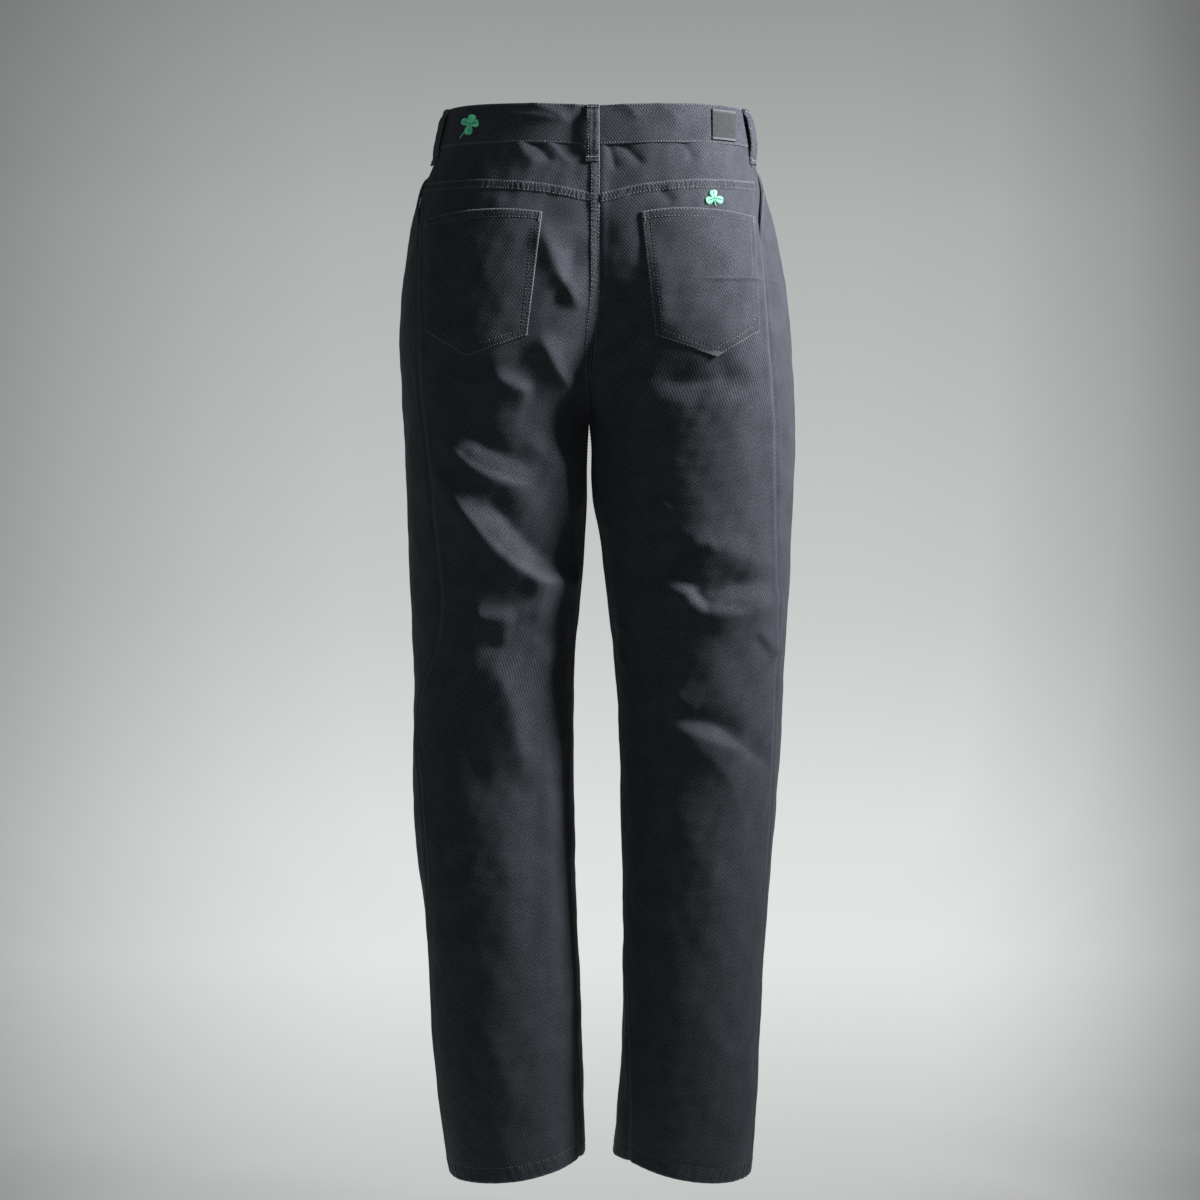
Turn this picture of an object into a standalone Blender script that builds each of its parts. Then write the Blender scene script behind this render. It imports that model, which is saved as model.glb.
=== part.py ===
"""Straight-leg five-pocket jeans, hollow and in worn form, cut and sewn from separate panels.

Z points up and the front faces -Y, so the wearer's left is +X. The origin is the middle of the
waistband ring. Each half of the garment is one surface: a stack of sections made of four curved
quarters, from the centre front or inseam round the outside to the centre back or inseam.
Every cloth piece is a wall on that surface. Lengths are in millimetres until a mesh is made.
"""

import math

import bmesh
import bpy
import numpy as np
from mathutils import Vector

COLLECTION = "trousers"
METRES = 0.001

# Cloth and sewing
CLOTH = 1.8
BAND_CLOTH = 2.6
BAND_PROUD = 0.8
SEAM_GAP = 0.3
LAID_GAP = 0.6
POCKET_CLOTH = 1.6
FACING_DEPTH = 3.2

# Waist, seat and crotch
BAND_HEIGHT = 39.0
CROTCH_Z = -287.0
CROTCH_SHIFT = 9.0
SHIFT_TOP_Z = -150.0
FORK_SLOPE = 0.0030
FORK_CURVE = 0.00019

LEFT = 1
RIGHT = -1
FRONT = 0
BACK = 1
SIDE_NAMES = {LEFT: "left", RIGHT: "right"}

# One row for each level: where both halves reach outside, in front and behind, where along the
# half-width the front and back stand out most, and how full the quarters are.
SECTION_COLUMNS = ("z", "left_out", "right_out", "front", "back", "outer_y", "front_at", "back_at",
                   "fullness")
SECTIONS = (
    (20, 153, 151, -105, 104, 0, 0.18, 0.20, 0.57),
    (-20, 160, 157, -110, 109, 2, 0.21, 0.25, 0.575),
    (-50, 174, 163, -114, 115, 4, 0.25, 0.31, 0.58),
    (-90, 184, 174, -118, 124, 6, 0.30, 0.36, 0.58),
    (-140, 192, 184, -119, 131, 7, 0.36, 0.40, 0.585),
    (-200, 197, 191, -117, 133, 7, 0.42, 0.44, 0.59),
    (-250, 195, 194, -112, 127, 6, 0.46, 0.47, 0.59),
    (-290, 193, 196, -107, 118, 5, 0.49, 0.49, 0.59),
    (-340, 191, 195, -103, 110, 4, 0.50, 0.50, 0.59),
    (-400, 189, 192, -98, 102, 2, 0.50, 0.50, 0.58),
    (-460, 187, 190, -92, 94, 0, 0.50, 0.50, 0.58),
    (-520, 184, 186, -87, 86, -2, 0.50, 0.50, 0.58),
    (-580, 184, 184, -81, 81, -2, 0.50, 0.50, 0.58),
    (-640, 185, 180, -76, 79, 0, 0.50, 0.50, 0.58),
    (-700, 182, 175, -71, 80, 3, 0.50, 0.50, 0.58),
    (-760, 174, 170, -67, 82, 6, 0.50, 0.50, 0.58),
    (-820, 169, 165, -64, 84, 9, 0.50, 0.50, 0.58),
    (-900, 165, 161, -61, 86, 11, 0.50, 0.50, 0.58),
    (-980, 156, 157, -59, 87, 13, 0.50, 0.50, 0.58),
    (-1040, 147, 152, -58, 87, 14, 0.50, 0.50, 0.58),
)

# Below the crotch: the inner reach of each leg, its depth, and how far round to the back each
# inseam lies from the innermost line.
LEG_COLUMNS = ("z", "left_in", "right_in", "inner_y", "left_inseam", "right_inseam")
LEGS = (
    (-287, 9.2, 8.8, 8, 0, 0),
    (-310, 10.5, 6.5, 7, 1, 1),
    (-340, 11.5, 6.5, 6, 4, 4),
    (-365, 11.5, 4.5, 5, 7, 7),
    (-400, 13, -2, 3, 12, 10),
    (-460, 17, -9, 0, 20, 15),
    (-520, 23, -16, -2, 24, 19),
    (-580, 24, -20, -2, 29, 20),
    (-640, 24, -22, 0, 38, 17),
    (-700, 23, -23, 3, 37, 14),
    (-760, 22, -25, 6, 34, 15),
    (-820, 18.5, -25, 9, 32, 19),
    (-900, 16, -24, 11, 31, 33),
    (-980, 13.5, -18, 13, 30, 48),
    (-1040, 12, -12, 14, 30, 52),
)

# The side seams as they show from behind.
OUTSEAM_COLUMNS = ("z", "left_x", "right_x")
OUTSEAMS = (
    (20, 148, 143),
    (-20, 157, 149),
    (-60, 171, 153),
    (-130, 175, 160),
    (-200, 174, 165),
    (-250, 173, 169),
    (-290, 169, 172),
    (-335, 163, 173),
    (-375, 159, 174),
    (-420, 155, 175),
    (-465, 152, 176),
    (-510, 158, 176),
    (-545, 172, 175),
    (-580, 179, 174),
    (-660, 174, 171),
    (-730, 169, 167),
    (-790, 168, 164),
    (-860, 166, 160),
    (-1040, 147, 150),
)

# Levels that run round the garment, given at the centre front (0), side seam (1) and centre
# back (2) of each half.
WAIST_TOP = ((0, 10), (0.6, 15), (1, 20), (1.6, 19), (2, 16.5))
YOKE_SEAM = ((0, -54), (1, -54), (1.55, -54), (1.75, -57), (1.92, -63), (2, -66))
HEM = ((0, -1012), (0.5, -1018), (1, -1031), (1.5, -1029), (2, -1012))

# Folds that stand or sink more than 2 mm, as seen from one side. A line's points are across and
# z; wide_above and wide_below are how far the fold spreads to each side of its line.
FOLD_COLUMNS = ("name", "view", "height", "wide_above", "wide_below", "line")
FOLDS = (
    ("thigh_crest", "back", 7, 13, 20, ((150, -300), (120, -328), (93, -343), (56, -351))),
    ("thigh_trough", "back", -5, 16, 12, ((140, -282), (116, -304), (88, -322), (50, -331))),
    ("knee_back_crest", "back", 11, 14, 26,
     ((150, -336), (118, -380), (86, -418), (62, -438), (20, -441))),
    ("knee_back_trough", "back", -7, 17, 13, ((112, -352), (84, -388), (56, -414), (24, -422))),
    ("inner_thigh_crest", "back", 5, 10, 12, ((44, -292), (39, -340), (29, -400), (18, -424))),
    ("below_knee_shelf", "back", 4, 14, 18, ((128, -474), (104, -478), (78, -483))),
    ("below_knee_trough", "back", -4, 14, 14, ((120, -497), (86, -506), (56, -470))),
    ("calf_crest", "back", 5, 14, 16, ((108, -512), (86, -562), (70, -650))),
    ("calf_hollow", "back", -4, 16, 16, ((140, -520), (128, -580), (112, -660))),
    ("seat_crest", "back", 4, 10, 12, ((58, -92), (40, -140), (18, -186))),
    ("seat_trough", "back", -3, 10, 10, ((44, -190), (28, -150), (20, -104))),
    ("under_seat_crest", "back", 6, 10, 14, ((58, -199), (48, -222), (34, -246), (20, -262))),
    ("under_pocket_crest", "back", 5, 9, 14, ((106, -242), (84, -252), (60, -262))),
    ("fork_hollow", "back", -6, 22, 22, ((-20, -150), (-26, -200), (-22, -262))),
    ("right_knee_crest", "back", 9, 14, 20,
     ((-50, -443), (-84, -450), (-107, -469), (-141, -467), (-168, -459), (-186, -448))),
    ("right_knee_trough", "back", -7, 15, 12,
     ((-44, -424), (-74, -432), (-104, -452), (-140, -446), (-170, -438))),
    ("right_thigh_ridge", "back", 4, 16, 18, ((-70, -388), (-110, -408), (-181, -432))),
    ("right_shin_ridge", "back", 4, 12, 14, ((-150, -488), (-166, -504), (-182, -522))),
    ("right_calf_crest", "back", 6, 15, 22, ((-70, -586), (-104, -594), (-130, -604), (-154, -613))),
    ("right_calf_trough", "back", -4, 16, 12, ((-66, -572), (-100, -577), (-128, -587), (-148, -596))),
    ("left_groin_crease", "front", -5, 9, 12, ((26, -236), (70, -212), (122, -190))),
    ("left_groin_crest", "front", 4, 10, 12, ((30, -262), (78, -242), (132, -228))),
    ("right_groin_crease", "front", -5, 9, 12, ((-16, -240), (-64, -218), (-120, -198))),
    ("right_groin_crest", "front", 4, 10, 12, ((-18, -268), (-70, -250), (-128, -240))),
    ("left_knee_front_crest", "front", 6, 12, 20, ((36, -566), (92, -584), (160, -560))),
    ("left_knee_front_trough", "front", -5, 16, 12, ((40, -540), (94, -556), (156, -534))),
    ("right_knee_front_crest", "front", 6, 12, 20, ((-34, -548), (-88, -572), (-158, -556))),
    ("right_knee_front_trough", "front", -5, 16, 12, ((-38, -524), (-92, -546), (-152, -530))),
    ("left_hem_break", "front", 5, 12, 18, ((28, -930), (76, -948), (132, -934))),
    ("right_hem_break", "front", 5, 12, 18, ((-30, -944), (-80, -958), (-136, -938))),
)
# A fold fades where the surface turns away from its view, and over this share of its ends.
TURNED_AWAY = 0.05
TURNED_TOWARDS = 0.5
FOLD_POWER = 1.6
FOLD_END = 0.28

# Where the rows of a leg panel lie, from the yoke seam to the hem, closest at the crotch.
LEG_LEVELS = (-60, -80, -100, -110, -120, -141, -162, -183, -204, -222, -238, -252, -264, -274,
              -281, -285, -287, -289, -294, -302, -314, -328, -343, -359, -375, -391, -407, -423,
              -439, -455, -471, -487, -504, -522, -541, -561, -582, -604, -627, -652, -682, -716,
              -752, -790, -830, -872, -914, -952, -982, -1006, -1030)
TOP_LEVEL = LEG_LEVELS[0]
HEM_LEVEL = LEG_LEVELS[-1]
TOP_SETTLE = 130.0
HEM_SETTLE = 150.0
YOKE_ROWS = 3
BACK_COLUMNS = 16
FRONT_COLUMNS = 12
BACK_CROWD = -0.08
FRONT_CROWD = 0.12

# Back pockets, as they show from behind: the distance from the middle and the level of each
# corner, and the crown of the top edge.
POCKET_COLUMNS = ("side", "top_outer", "top_inner", "bottom_inner", "point", "bottom_outer")
POCKETS = (
    (LEFT, (168.5, -91), (53, -87.5), (67.5, -206), (125, -226), (166.5, -200)),
    (RIGHT, (151, -89), (41, -87.5), (55, -206), (114, -226), (155, -201)),
)
POCKET_CROWN = 5.0
POCKET_ROWS = 9
POCKET_OUTER_COLUMNS = 8
POCKET_INNER_COLUMNS = 7

# Front pocket mouths: where the curve leaves the waist seam, and its lowest level at the side.
MOUTH_START = 0.50
MOUTH_BOTTOM = -112.0
MOUTH_SETTLE_Z = -120.0
MOUTH_ROWS = 4
# The facing behind each mouth starts nearer the middle, ends behind the side seam and laps below.
FACING_FROM = 0.42
FACING_BEHIND_SIDE = 0.035
FACING_LAP = 16.0
FACING_COLUMNS = 12
FACING_ROWS = 6

# The waistband's ends lap at the centre front, the wearer's left end on top.
UNDERLAP = 0.17
OVERLAP = 0.035
LAP_BLEND = 0.14
BAND_COLUMNS = 64
BAND_ROWS = 2

# Belt loops: place round the waist, with 0 at the centre front, 1 at the right side seam, 2 at
# the centre back and 3 at the left side seam.
LOOPS = {"belt_loop_front_right": 0.40, "belt_loop_side_right": 1.0, "belt_loop_back": 2.026,
         "belt_loop_side_left": 2.98, "belt_loop_front_left": 3.60}
LOOP_WIDTH = 12.5
LOOP_CLOTH = 1.8
LOOP_TOP_BELOW_BAND = 0.5
LOOP_LENGTH = 55.0
# Share of the loop's length from its top, and how far its inner face stands off the panels.
LOOP_PROFILE = ((0.0, 1.2), (0.07, 1.3), (0.16, 3.4), (0.30, 4.2), (0.50, 4.3), (0.68, 3.8),
                (0.82, 2.2), (0.90, 0.65), (1.0, 0.6))
LOOP_PLACE_STEP = 0.01

# The blank leather patch on the right of the back waistband, as seen from behind.
PATCH_PLACE = 1.45
PATCH_FROM_X = -109.0
PATCH_TO_X = -132.5
PATCH_COLUMNS = 5
PATCH_ROWS = 2
PATCH_TOP_DOWN = 4.5
PATCH_HEIGHT = 31.0
PATCH_LEATHER = 1.5
PATCH_GAP = 0.4

# Waist button
BUTTON_PLACE = 0.06
BUTTON_RADIUS = 8.5
BUTTON_GAP = 0.4
BUTTON_SIDES = 28
# Distance from the button's axis and height above its back.
BUTTON_PROFILE = ((0.0, 3.0), (4.2, 2.85), (7.7, 2.3), (BUTTON_RADIUS, 1.5), (BUTTON_RADIUS, 0.5),
                  (7.7, 0.0), (0.0, 0.0))

# How finely a section is measured, and how many times a place on it is halved in on.
QUARTER_STEPS = 16
TRIM_STEPS = 30

# Side seams stay inside the outline, and the gap of each inseam opens between two levels.
OUTSEAM_INSIDE = 0.3
INSEAM_GAP_FROM_Z = -265.0
INSEAM_GAP_FULL_Z = -279.0

# How the columns of a panel give way to the crotch seam, and how high above it they are even.
SPREAD_EASE = 0.6
SPREAD_POWER = 5.0
SPREAD_HEIGHT = 110.0

# Small steps along and up the surface that give its normals.
SLOPE_ALONG = 0.004
SLOPE_UP = 0.6

SHARP_ANGLE = 40.0


def table(columns, rows):
    """The columns of a table by name, with its levels rising."""
    data = np.array(rows, dtype=float)[::-1]
    return {name: data[:, index] for index, name in enumerate(columns)}


SECTION = table(SECTION_COLUMNS, SECTIONS)
LEG = table(LEG_COLUMNS, LEGS)
OUTSEAM = table(OUTSEAM_COLUMNS, OUTSEAMS)


def ease(value):
    """Zero to one with level ends."""
    clipped = np.clip(value, 0.0, 1.0)
    return clipped * clipped * (3.0 - 2.0 * clipped)


def smooth_column(at, knots, values):
    """A smooth curve through the values of one column."""
    slopes = np.gradient(values, knots)
    low = np.clip(np.searchsorted(knots, at) - 1, 0, len(knots) - 2)
    step = knots[low + 1] - knots[low]
    part = np.clip((at - knots[low]) / step, 0.0, 1.0)
    rest = 1.0 - part
    return (values[low] * (1 + 2 * part) * rest ** 2 + values[low + 1] * part ** 2 * (3 - 2 * part)
            + step * part * rest * (slopes[low] * rest - slopes[low + 1] * part))


def column(source, name, z):
    return smooth_column(z, source["z"], source[name])


def sided(source, end, side, z):
    """A column that has one value for each side of the garment."""
    return np.where(side > 0, column(source, "left" + end, z), column(source, "right" + end, z))


def level_line(line, around):
    """A level that changes round the garment, read at a place from 0 to 2."""
    knots, values = np.array(line, dtype=float).T
    return smooth_column(around, knots, values)


def median_x(z):
    """The middle line of the garment, which drifts to the wearer's left at the crotch."""
    return CROTCH_SHIFT * ease((SHIFT_TOP_Z - z) / (SHIFT_TOP_Z - CROTCH_Z))


def trimmed(quarter, reach):
    """The stretch of each quarter from a distance off the middle outwards."""
    low = np.zeros(len(quarter))
    high = np.ones(len(quarter))
    for _ in range(TRIM_STEPS):
        place = 0.5 * (low + high)
        rest = 1.0 - place
        across = (quarter[:, 0, 0] * rest ** 3 + 3 * quarter[:, 1, 0] * rest ** 2 * place
                  + 3 * quarter[:, 2, 0] * rest * place ** 2 + quarter[:, 3, 0] * place ** 3)
        short = across < reach
        low = np.where(short, place, low)
        high = np.where(short, high, place)
    cut = np.where(quarter[:, 0, 0] >= reach, 0.0, low)[:, None]
    first = quarter[:, 0] + (quarter[:, 1] - quarter[:, 0]) * cut
    second = quarter[:, 1] + (quarter[:, 2] - quarter[:, 1]) * cut
    third = quarter[:, 2] + (quarter[:, 3] - quarter[:, 2]) * cut
    fourth = first + (second - first) * cut
    fifth = second + (third - second) * cut
    return np.stack([fourth + (fifth - fourth) * cut, fifth, third, quarter[:, 3]], axis=1)


def quarter_curve(from_u, from_y, to_u, to_y, full):
    """A quarter that leaves its first point along y and reaches its last point across."""
    points = ((from_u, from_y), (from_u, from_y + full * (to_y - from_y)),
              (to_u - full * (to_u - from_u), to_y), (to_u, to_y))
    return np.stack([np.stack(pair, axis=-1) for pair in points], axis=1)


def quarters(side, z):
    """Control points of the four quarters of a section, as distance from the middle and y.

    Above the crotch each leg's ring runs past the middle, further the higher it lies, and is cut
    there. That gives the curve of the crotch seam and the hollow between the two halves.
    """
    middle = median_x(z)
    half_gap = SEAM_GAP / 2
    out = side * (side * sided(SECTION, "_out", side, z) - middle)
    leg_in = side * (sided(LEG, "_in", side, np.minimum(z, CROTCH_Z)) - middle)
    inner = np.where(z < CROTCH_Z, np.maximum(leg_in, half_gap), half_gap)
    front = column(SECTION, "front", z)
    back = column(SECTION, "back", z)
    outer_y = column(SECTION, "outer_y", z)
    inner_y = column(LEG, "inner_y", np.minimum(z, CROTCH_Z))
    full = column(SECTION, "fullness", z)
    front_u = inner + (out - inner) * column(SECTION, "front_at", z)
    back_u = inner + (out - inner) * column(SECTION, "back_at", z)
    climb = np.maximum(z - CROTCH_Z, 0.0)
    past = FORK_SLOPE * climb + FORK_CURVE * climb ** 2
    front_quarter = quarter_curve(inner - front_u * past, inner_y, front_u, front, full)
    back_quarter = quarter_curve(inner - back_u * past, inner_y, back_u, back, full)
    outer_front = quarter_curve(out, outer_y, front_u, front, full)[:, ::-1]
    outer_back = quarter_curve(out, outer_y, back_u, back, full)
    return np.stack([trimmed(front_quarter, half_gap), outer_front, outer_back,
                     trimmed(back_quarter, half_gap)[:, ::-1]], axis=1)


def on_quarters(controls, place):
    """Points on the quarters at places from 0 to 4, for each section."""
    which = np.clip(place.astype(int), 0, 3)
    part = (place - which)[..., None]
    rest = 1.0 - part
    chosen = np.take_along_axis(controls, which[:, :, None, None], axis=1)
    return (chosen[..., 0, :] * rest ** 3 + 3 * chosen[..., 1, :] * rest ** 2 * part
            + 3 * chosen[..., 2, :] * rest * part ** 2 + chosen[..., 3, :] * part ** 3)


def row_values(at, known, values):
    """Each row's value at a place along that row's rising known numbers."""
    low = np.clip((known <= at[:, None]).sum(axis=1) - 1, 0, known.shape[1] - 2)[:, None]
    start = np.take_along_axis(known, low, 1)[:, 0]
    end = np.take_along_axis(known, low + 1, 1)[:, 0]
    first = np.take_along_axis(values, low, 1)[:, 0]
    last = np.take_along_axis(values, low + 1, 1)[:, 0]
    return first + (last - first) * (at - start) / np.maximum(end - start, 1e-9)


def section_marks(side, z):
    """A section's controls, its lengths along the curve, and the lengths at its seams."""
    controls = quarters(side, z)
    places = np.tile(np.linspace(0.0, 4.0, 4 * QUARTER_STEPS + 1), (len(z), 1))
    points = on_quarters(controls, places)
    steps = np.linalg.norm(np.diff(points, axis=1), axis=2)
    lengths = np.concatenate([np.zeros((len(z), 1)), np.cumsum(steps, axis=1)], axis=1)
    behind = slice(2 * QUARTER_STEPS, 4 * QUARTER_STEPS + 1)
    farthest = sided(SECTION, "_out", side, z) - OUTSEAM_INSIDE
    seam_x = np.minimum(sided(OUTSEAM, "_x", side, z), farthest)
    seam_u = side * (side * seam_x - median_x(z))
    outseam = row_values(-seam_u, -points[:, behind, 0], lengths[:, behind])
    inseam = np.where(z < CROTCH_Z, sided(LEG, "_inseam", side, np.minimum(z, CROTCH_Z)), 0.0)
    return controls, places, lengths, outseam, inseam


def spread(reach, cut, share, z):
    """Distance along a section for a share of a panel, counted from the middle of the garment.

    Just above the crotch the columns keep the places they have below it, and only those near the
    crotch seam give way to it. Higher up they are even.
    """
    power = np.clip(SPREAD_EASE * (reach + cut) / np.maximum(cut, 1.0), 1.0, SPREAD_POWER)
    steady = (reach + cut) * share - cut + cut * (1.0 - share) ** power
    return steady + (reach * share - steady) * ease((z - CROTCH_Z) / SPREAD_HEIGHT)


def bare_surface(side, part, share, z, pull):
    """Points of the garment surface at a share of the way across a front or back panel."""
    controls, places, lengths, outseam, inseam = section_marks(side, z)
    inner_y = column(LEG, "inner_y", np.minimum(z, CROTCH_Z))
    front_cut = np.abs(controls[:, 0, 0, 1] - inner_y)
    back_cut = np.abs(controls[:, 3, 3, 1] - inner_y)
    sewn = pull * ease((INSEAM_GAP_FROM_Z - z) / (INSEAM_GAP_FROM_Z - INSEAM_GAP_FULL_Z))
    front_from = sewn - inseam
    back_to = lengths[:, -1] - inseam - sewn
    along = np.where(part == FRONT,
                     front_from + spread(outseam - pull - front_from, front_cut, share, z),
                     back_to - spread(back_to - outseam - pull, back_cut, 1.0 - share, z))
    along = np.where(along < 0.0, along + lengths[:, -1], along)
    flat = on_quarters(controls, row_values(along, lengths, places)[:, None])[:, 0]
    return np.stack([median_x(z) + side * flat[:, 0], flat[:, 1], z], axis=1)


def fold_heights(points, normals):
    """How far the folds lift or sink each point along its normal."""
    total = np.zeros(len(points))
    facing = {"back": normals[:, 1], "front": -normals[:, 1]}
    for row in FOLDS:
        fold = dict(zip(FOLD_COLUMNS, row))
        distance, above, share = line_distance(points[:, 0], points[:, 2], smooth_line(fold["line"]))
        width = np.where(above, fold["wide_above"], fold["wide_below"])
        shape = np.exp(-(distance / width) ** FOLD_POWER)
        ends = ease(np.minimum(share, 1.0 - share) / FOLD_END)
        seen = ease((facing[fold["view"]] - TURNED_AWAY) / (TURNED_TOWARDS - TURNED_AWAY))
        total += fold["height"] * shape * ends * seen
    return total


def smooth_line(line, steps=6):
    """A fold's line, rounded through its points."""
    knots = np.arange(len(line), dtype=float)
    data = np.array(line, dtype=float)
    at = np.linspace(0.0, len(line) - 1.0, steps * (len(line) - 1) + 1)
    return np.stack([smooth_column(at, knots, data[:, 0]), smooth_column(at, knots, data[:, 1])], axis=1)


def line_distance(across, up, line):
    """Distance from each point to a line, whether it lies above, and the share along it."""
    best = np.full(len(across), 1e9)
    above = np.zeros(len(across), dtype=bool)
    share = np.zeros(len(across))
    lengths = np.linalg.norm(np.diff(line, axis=0), axis=1)
    reached = np.concatenate([[0.0], np.cumsum(lengths)])
    for index, length in enumerate(lengths):
        start = line[index]
        way = (line[index + 1] - start) / length
        above_sign = 1.0 if way[0] < 0.0 else -1.0
        from_start = (across - start[0]) * way[0] + (up - start[1]) * way[1]
        along = np.clip(from_start, 0.0, length)
        gap_x = across - start[0] - along * way[0]
        gap_z = up - start[1] - along * way[1]
        distance = np.hypot(gap_x, gap_z)
        nearer = distance < best
        best = np.where(nearer, distance, best)
        above = np.where(nearer, above_sign * (gap_x * way[1] - gap_z * way[0]) > 0.0, above)
        share = np.where(nearer, (reached[index] + along) / reached[-1], share)
    return best, above, share


def cloth(side, part, share, z, pull=SEAM_GAP / 2):
    """Folded surface points and their outward normals, over arrays of one shape."""
    side, part, share, z = np.broadcast_arrays(side, part, np.asarray(share, float), np.asarray(z, float))
    shape = z.shape
    side, part, share, z = side.ravel(), part.ravel(), share.ravel(), z.ravel()
    points = bare_surface(side, part, share, z, pull)
    ahead = bare_surface(side, part, np.minimum(share + SLOPE_ALONG, 1.0), z, pull)
    behind = bare_surface(side, part, np.maximum(share - SLOPE_ALONG, 0.0), z, pull)
    higher = bare_surface(side, part, share, z + SLOPE_UP, pull)
    lower = bare_surface(side, part, share, z - SLOPE_UP, pull)
    normals = side[:, None] * np.cross(ahead - behind, higher - lower)
    normals /= np.linalg.norm(normals, axis=1)[:, None]
    points = points + normals * fold_heights(points, normals)[:, None]
    return points.reshape(shape + (3,)), normals.reshape(shape + (3,))


def keep_to_side(points, side):
    """Points held on their own side of the middle, half a seam gap from it."""
    held = points.copy()
    middle = median_x(points[..., 2])
    held[..., 0] = middle + side * np.maximum(side * (points[..., 0] - middle), SEAM_GAP / 2)
    return held


def leg_level(row_level, around):
    """A row of a leg panel: level in the middle, meeting the yoke seam and the hem at its ends."""
    top = level_line(YOKE_SEAM, around) - TOP_LEVEL
    bottom = level_line(HEM, around) - HEM_LEVEL
    near_top = 1.0 - ease((TOP_LEVEL - row_level) / TOP_SETTLE)
    near_hem = 1.0 - ease((row_level - HEM_LEVEL) / HEM_SETTLE)
    return row_level + top * near_top + bottom * near_hem


def mouth_level(around):
    """Top edge of a front panel: the waist seam, then the curve of the pocket mouth."""
    seam = level_line(WAIST_TOP, around) - BAND_HEIGHT
    sweep = np.clip((around - MOUTH_START) / (1.0 - MOUTH_START), 0.0, 1.0)
    return seam + (MOUTH_BOTTOM - seam) * (1.0 - np.sqrt(1.0 - sweep ** 2))


def material(name, color, roughness, metallic=0.0):
    """A material with one colour, roughness and metallic value."""
    made = bpy.data.materials.new(name)
    made.use_nodes = True
    shader = made.node_tree.nodes["Principled BSDF"]
    shader.inputs["Base Color"].default_value = (*color, 1.0)
    shader.inputs["Roughness"].default_value = roughness
    shader.inputs["Metallic"].default_value = metallic
    return made


def add_object(name, mesh, made):
    mesh.materials.append(made)
    mesh.shade_smooth()
    mesh.set_sharp_from_angle(angle=math.radians(SHARP_ANGLE))
    thing = bpy.data.objects.new(name, mesh)
    bpy.data.collections[COLLECTION].objects.link(thing)
    return thing


def wall(name, outer, inner, made):
    """A closed cloth wall lofted through a grid of outer points and the grid behind it."""
    rows, columns = outer.shape[:2]
    shell = bmesh.new()
    grids = [[[shell.verts.new(grid[i, j] * METRES) for j in range(columns)] for i in range(rows)]
             for grid in (outer, inner)]
    front, back = grids
    for i in range(rows - 1):
        for j in range(columns - 1):
            shell.faces.new((front[i][j], front[i + 1][j], front[i + 1][j + 1], front[i][j + 1]))
            shell.faces.new((back[i][j], back[i][j + 1], back[i + 1][j + 1], back[i + 1][j]))
    border = ([(0, j) for j in range(columns - 1)]
              + [(i, columns - 1) for i in range(rows - 1)]
              + [(rows - 1, j) for j in range(columns - 1, 0, -1)]
              + [(i, 0) for i in range(rows - 1, 0, -1)])
    for (i, j), (k, m) in zip(border, border[1:] + border[:1]):
        shell.faces.new((front[i][j], front[k][m], back[k][m], back[i][j]))
    bmesh.ops.recalc_face_normals(shell, faces=shell.faces)
    mesh = bpy.data.meshes.new(name)
    shell.to_mesh(mesh)
    shell.free()
    return add_object(name, mesh, made)


def cloth_wall(name, side, points, normals, outside, inside, made):
    """A wall between two depths of the surface, kept on its side of the middle."""
    outer = keep_to_side(points + normals * outside, side)
    inner = keep_to_side(points + normals * inside, side)
    return wall(name, outer, inner, made)


def shares(columns, crowd):
    """Shares across a panel, crowded towards the side seam, where the body turns most."""
    even = np.linspace(0.0, 1.0, columns + 1)
    return even + crowd * np.sin(math.pi * even)


def make_back(side, denim):
    """One back leg panel, from the yoke seam to the hem."""
    share = shares(BACK_COLUMNS, BACK_CROWD)
    z = np.array([leg_level(level, 1.0 + share) for level in LEG_LEVELS])
    z[0] -= SEAM_GAP / 2
    points, normals = cloth(side, BACK, share[None, :], z)
    cloth_wall("back_" + SIDE_NAMES[side], side, points, normals, 0.0, -CLOTH, denim)


def make_yoke(side, denim):
    """One yoke, between the waist seam and the back panel."""
    share = shares(BACK_COLUMNS, BACK_CROWD)
    top = level_line(WAIST_TOP, 1.0 + share) - BAND_HEIGHT - SEAM_GAP / 2
    bottom = level_line(YOKE_SEAM, 1.0 + share) + SEAM_GAP / 2
    down = np.linspace(0.0, 1.0, YOKE_ROWS + 1)[:, None]
    points, normals = cloth(side, BACK, share[None, :], top + (bottom - top) * down)
    cloth_wall("yoke_" + SIDE_NAMES[side], side, points, normals, 0.0, -CLOTH, denim)


def make_front(side, denim):
    """One front leg panel, with the pocket mouth scooped from its top outer corner."""
    share = shares(FRONT_COLUMNS, FRONT_CROWD)
    top = mouth_level(share) - SEAM_GAP / 2
    lower = np.array([leg_level(level, share) for level in LEG_LEVELS if level <= MOUTH_SETTLE_Z])
    down = np.linspace(0.0, 1.0, MOUTH_ROWS + 1)[:-1, None]
    z = np.concatenate([top + (lower[0] - top) * down, lower])
    points, normals = cloth(side, FRONT, share[None, :], z)
    cloth_wall("front_" + SIDE_NAMES[side], side, points, normals, 0.0, -CLOTH, denim)


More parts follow.
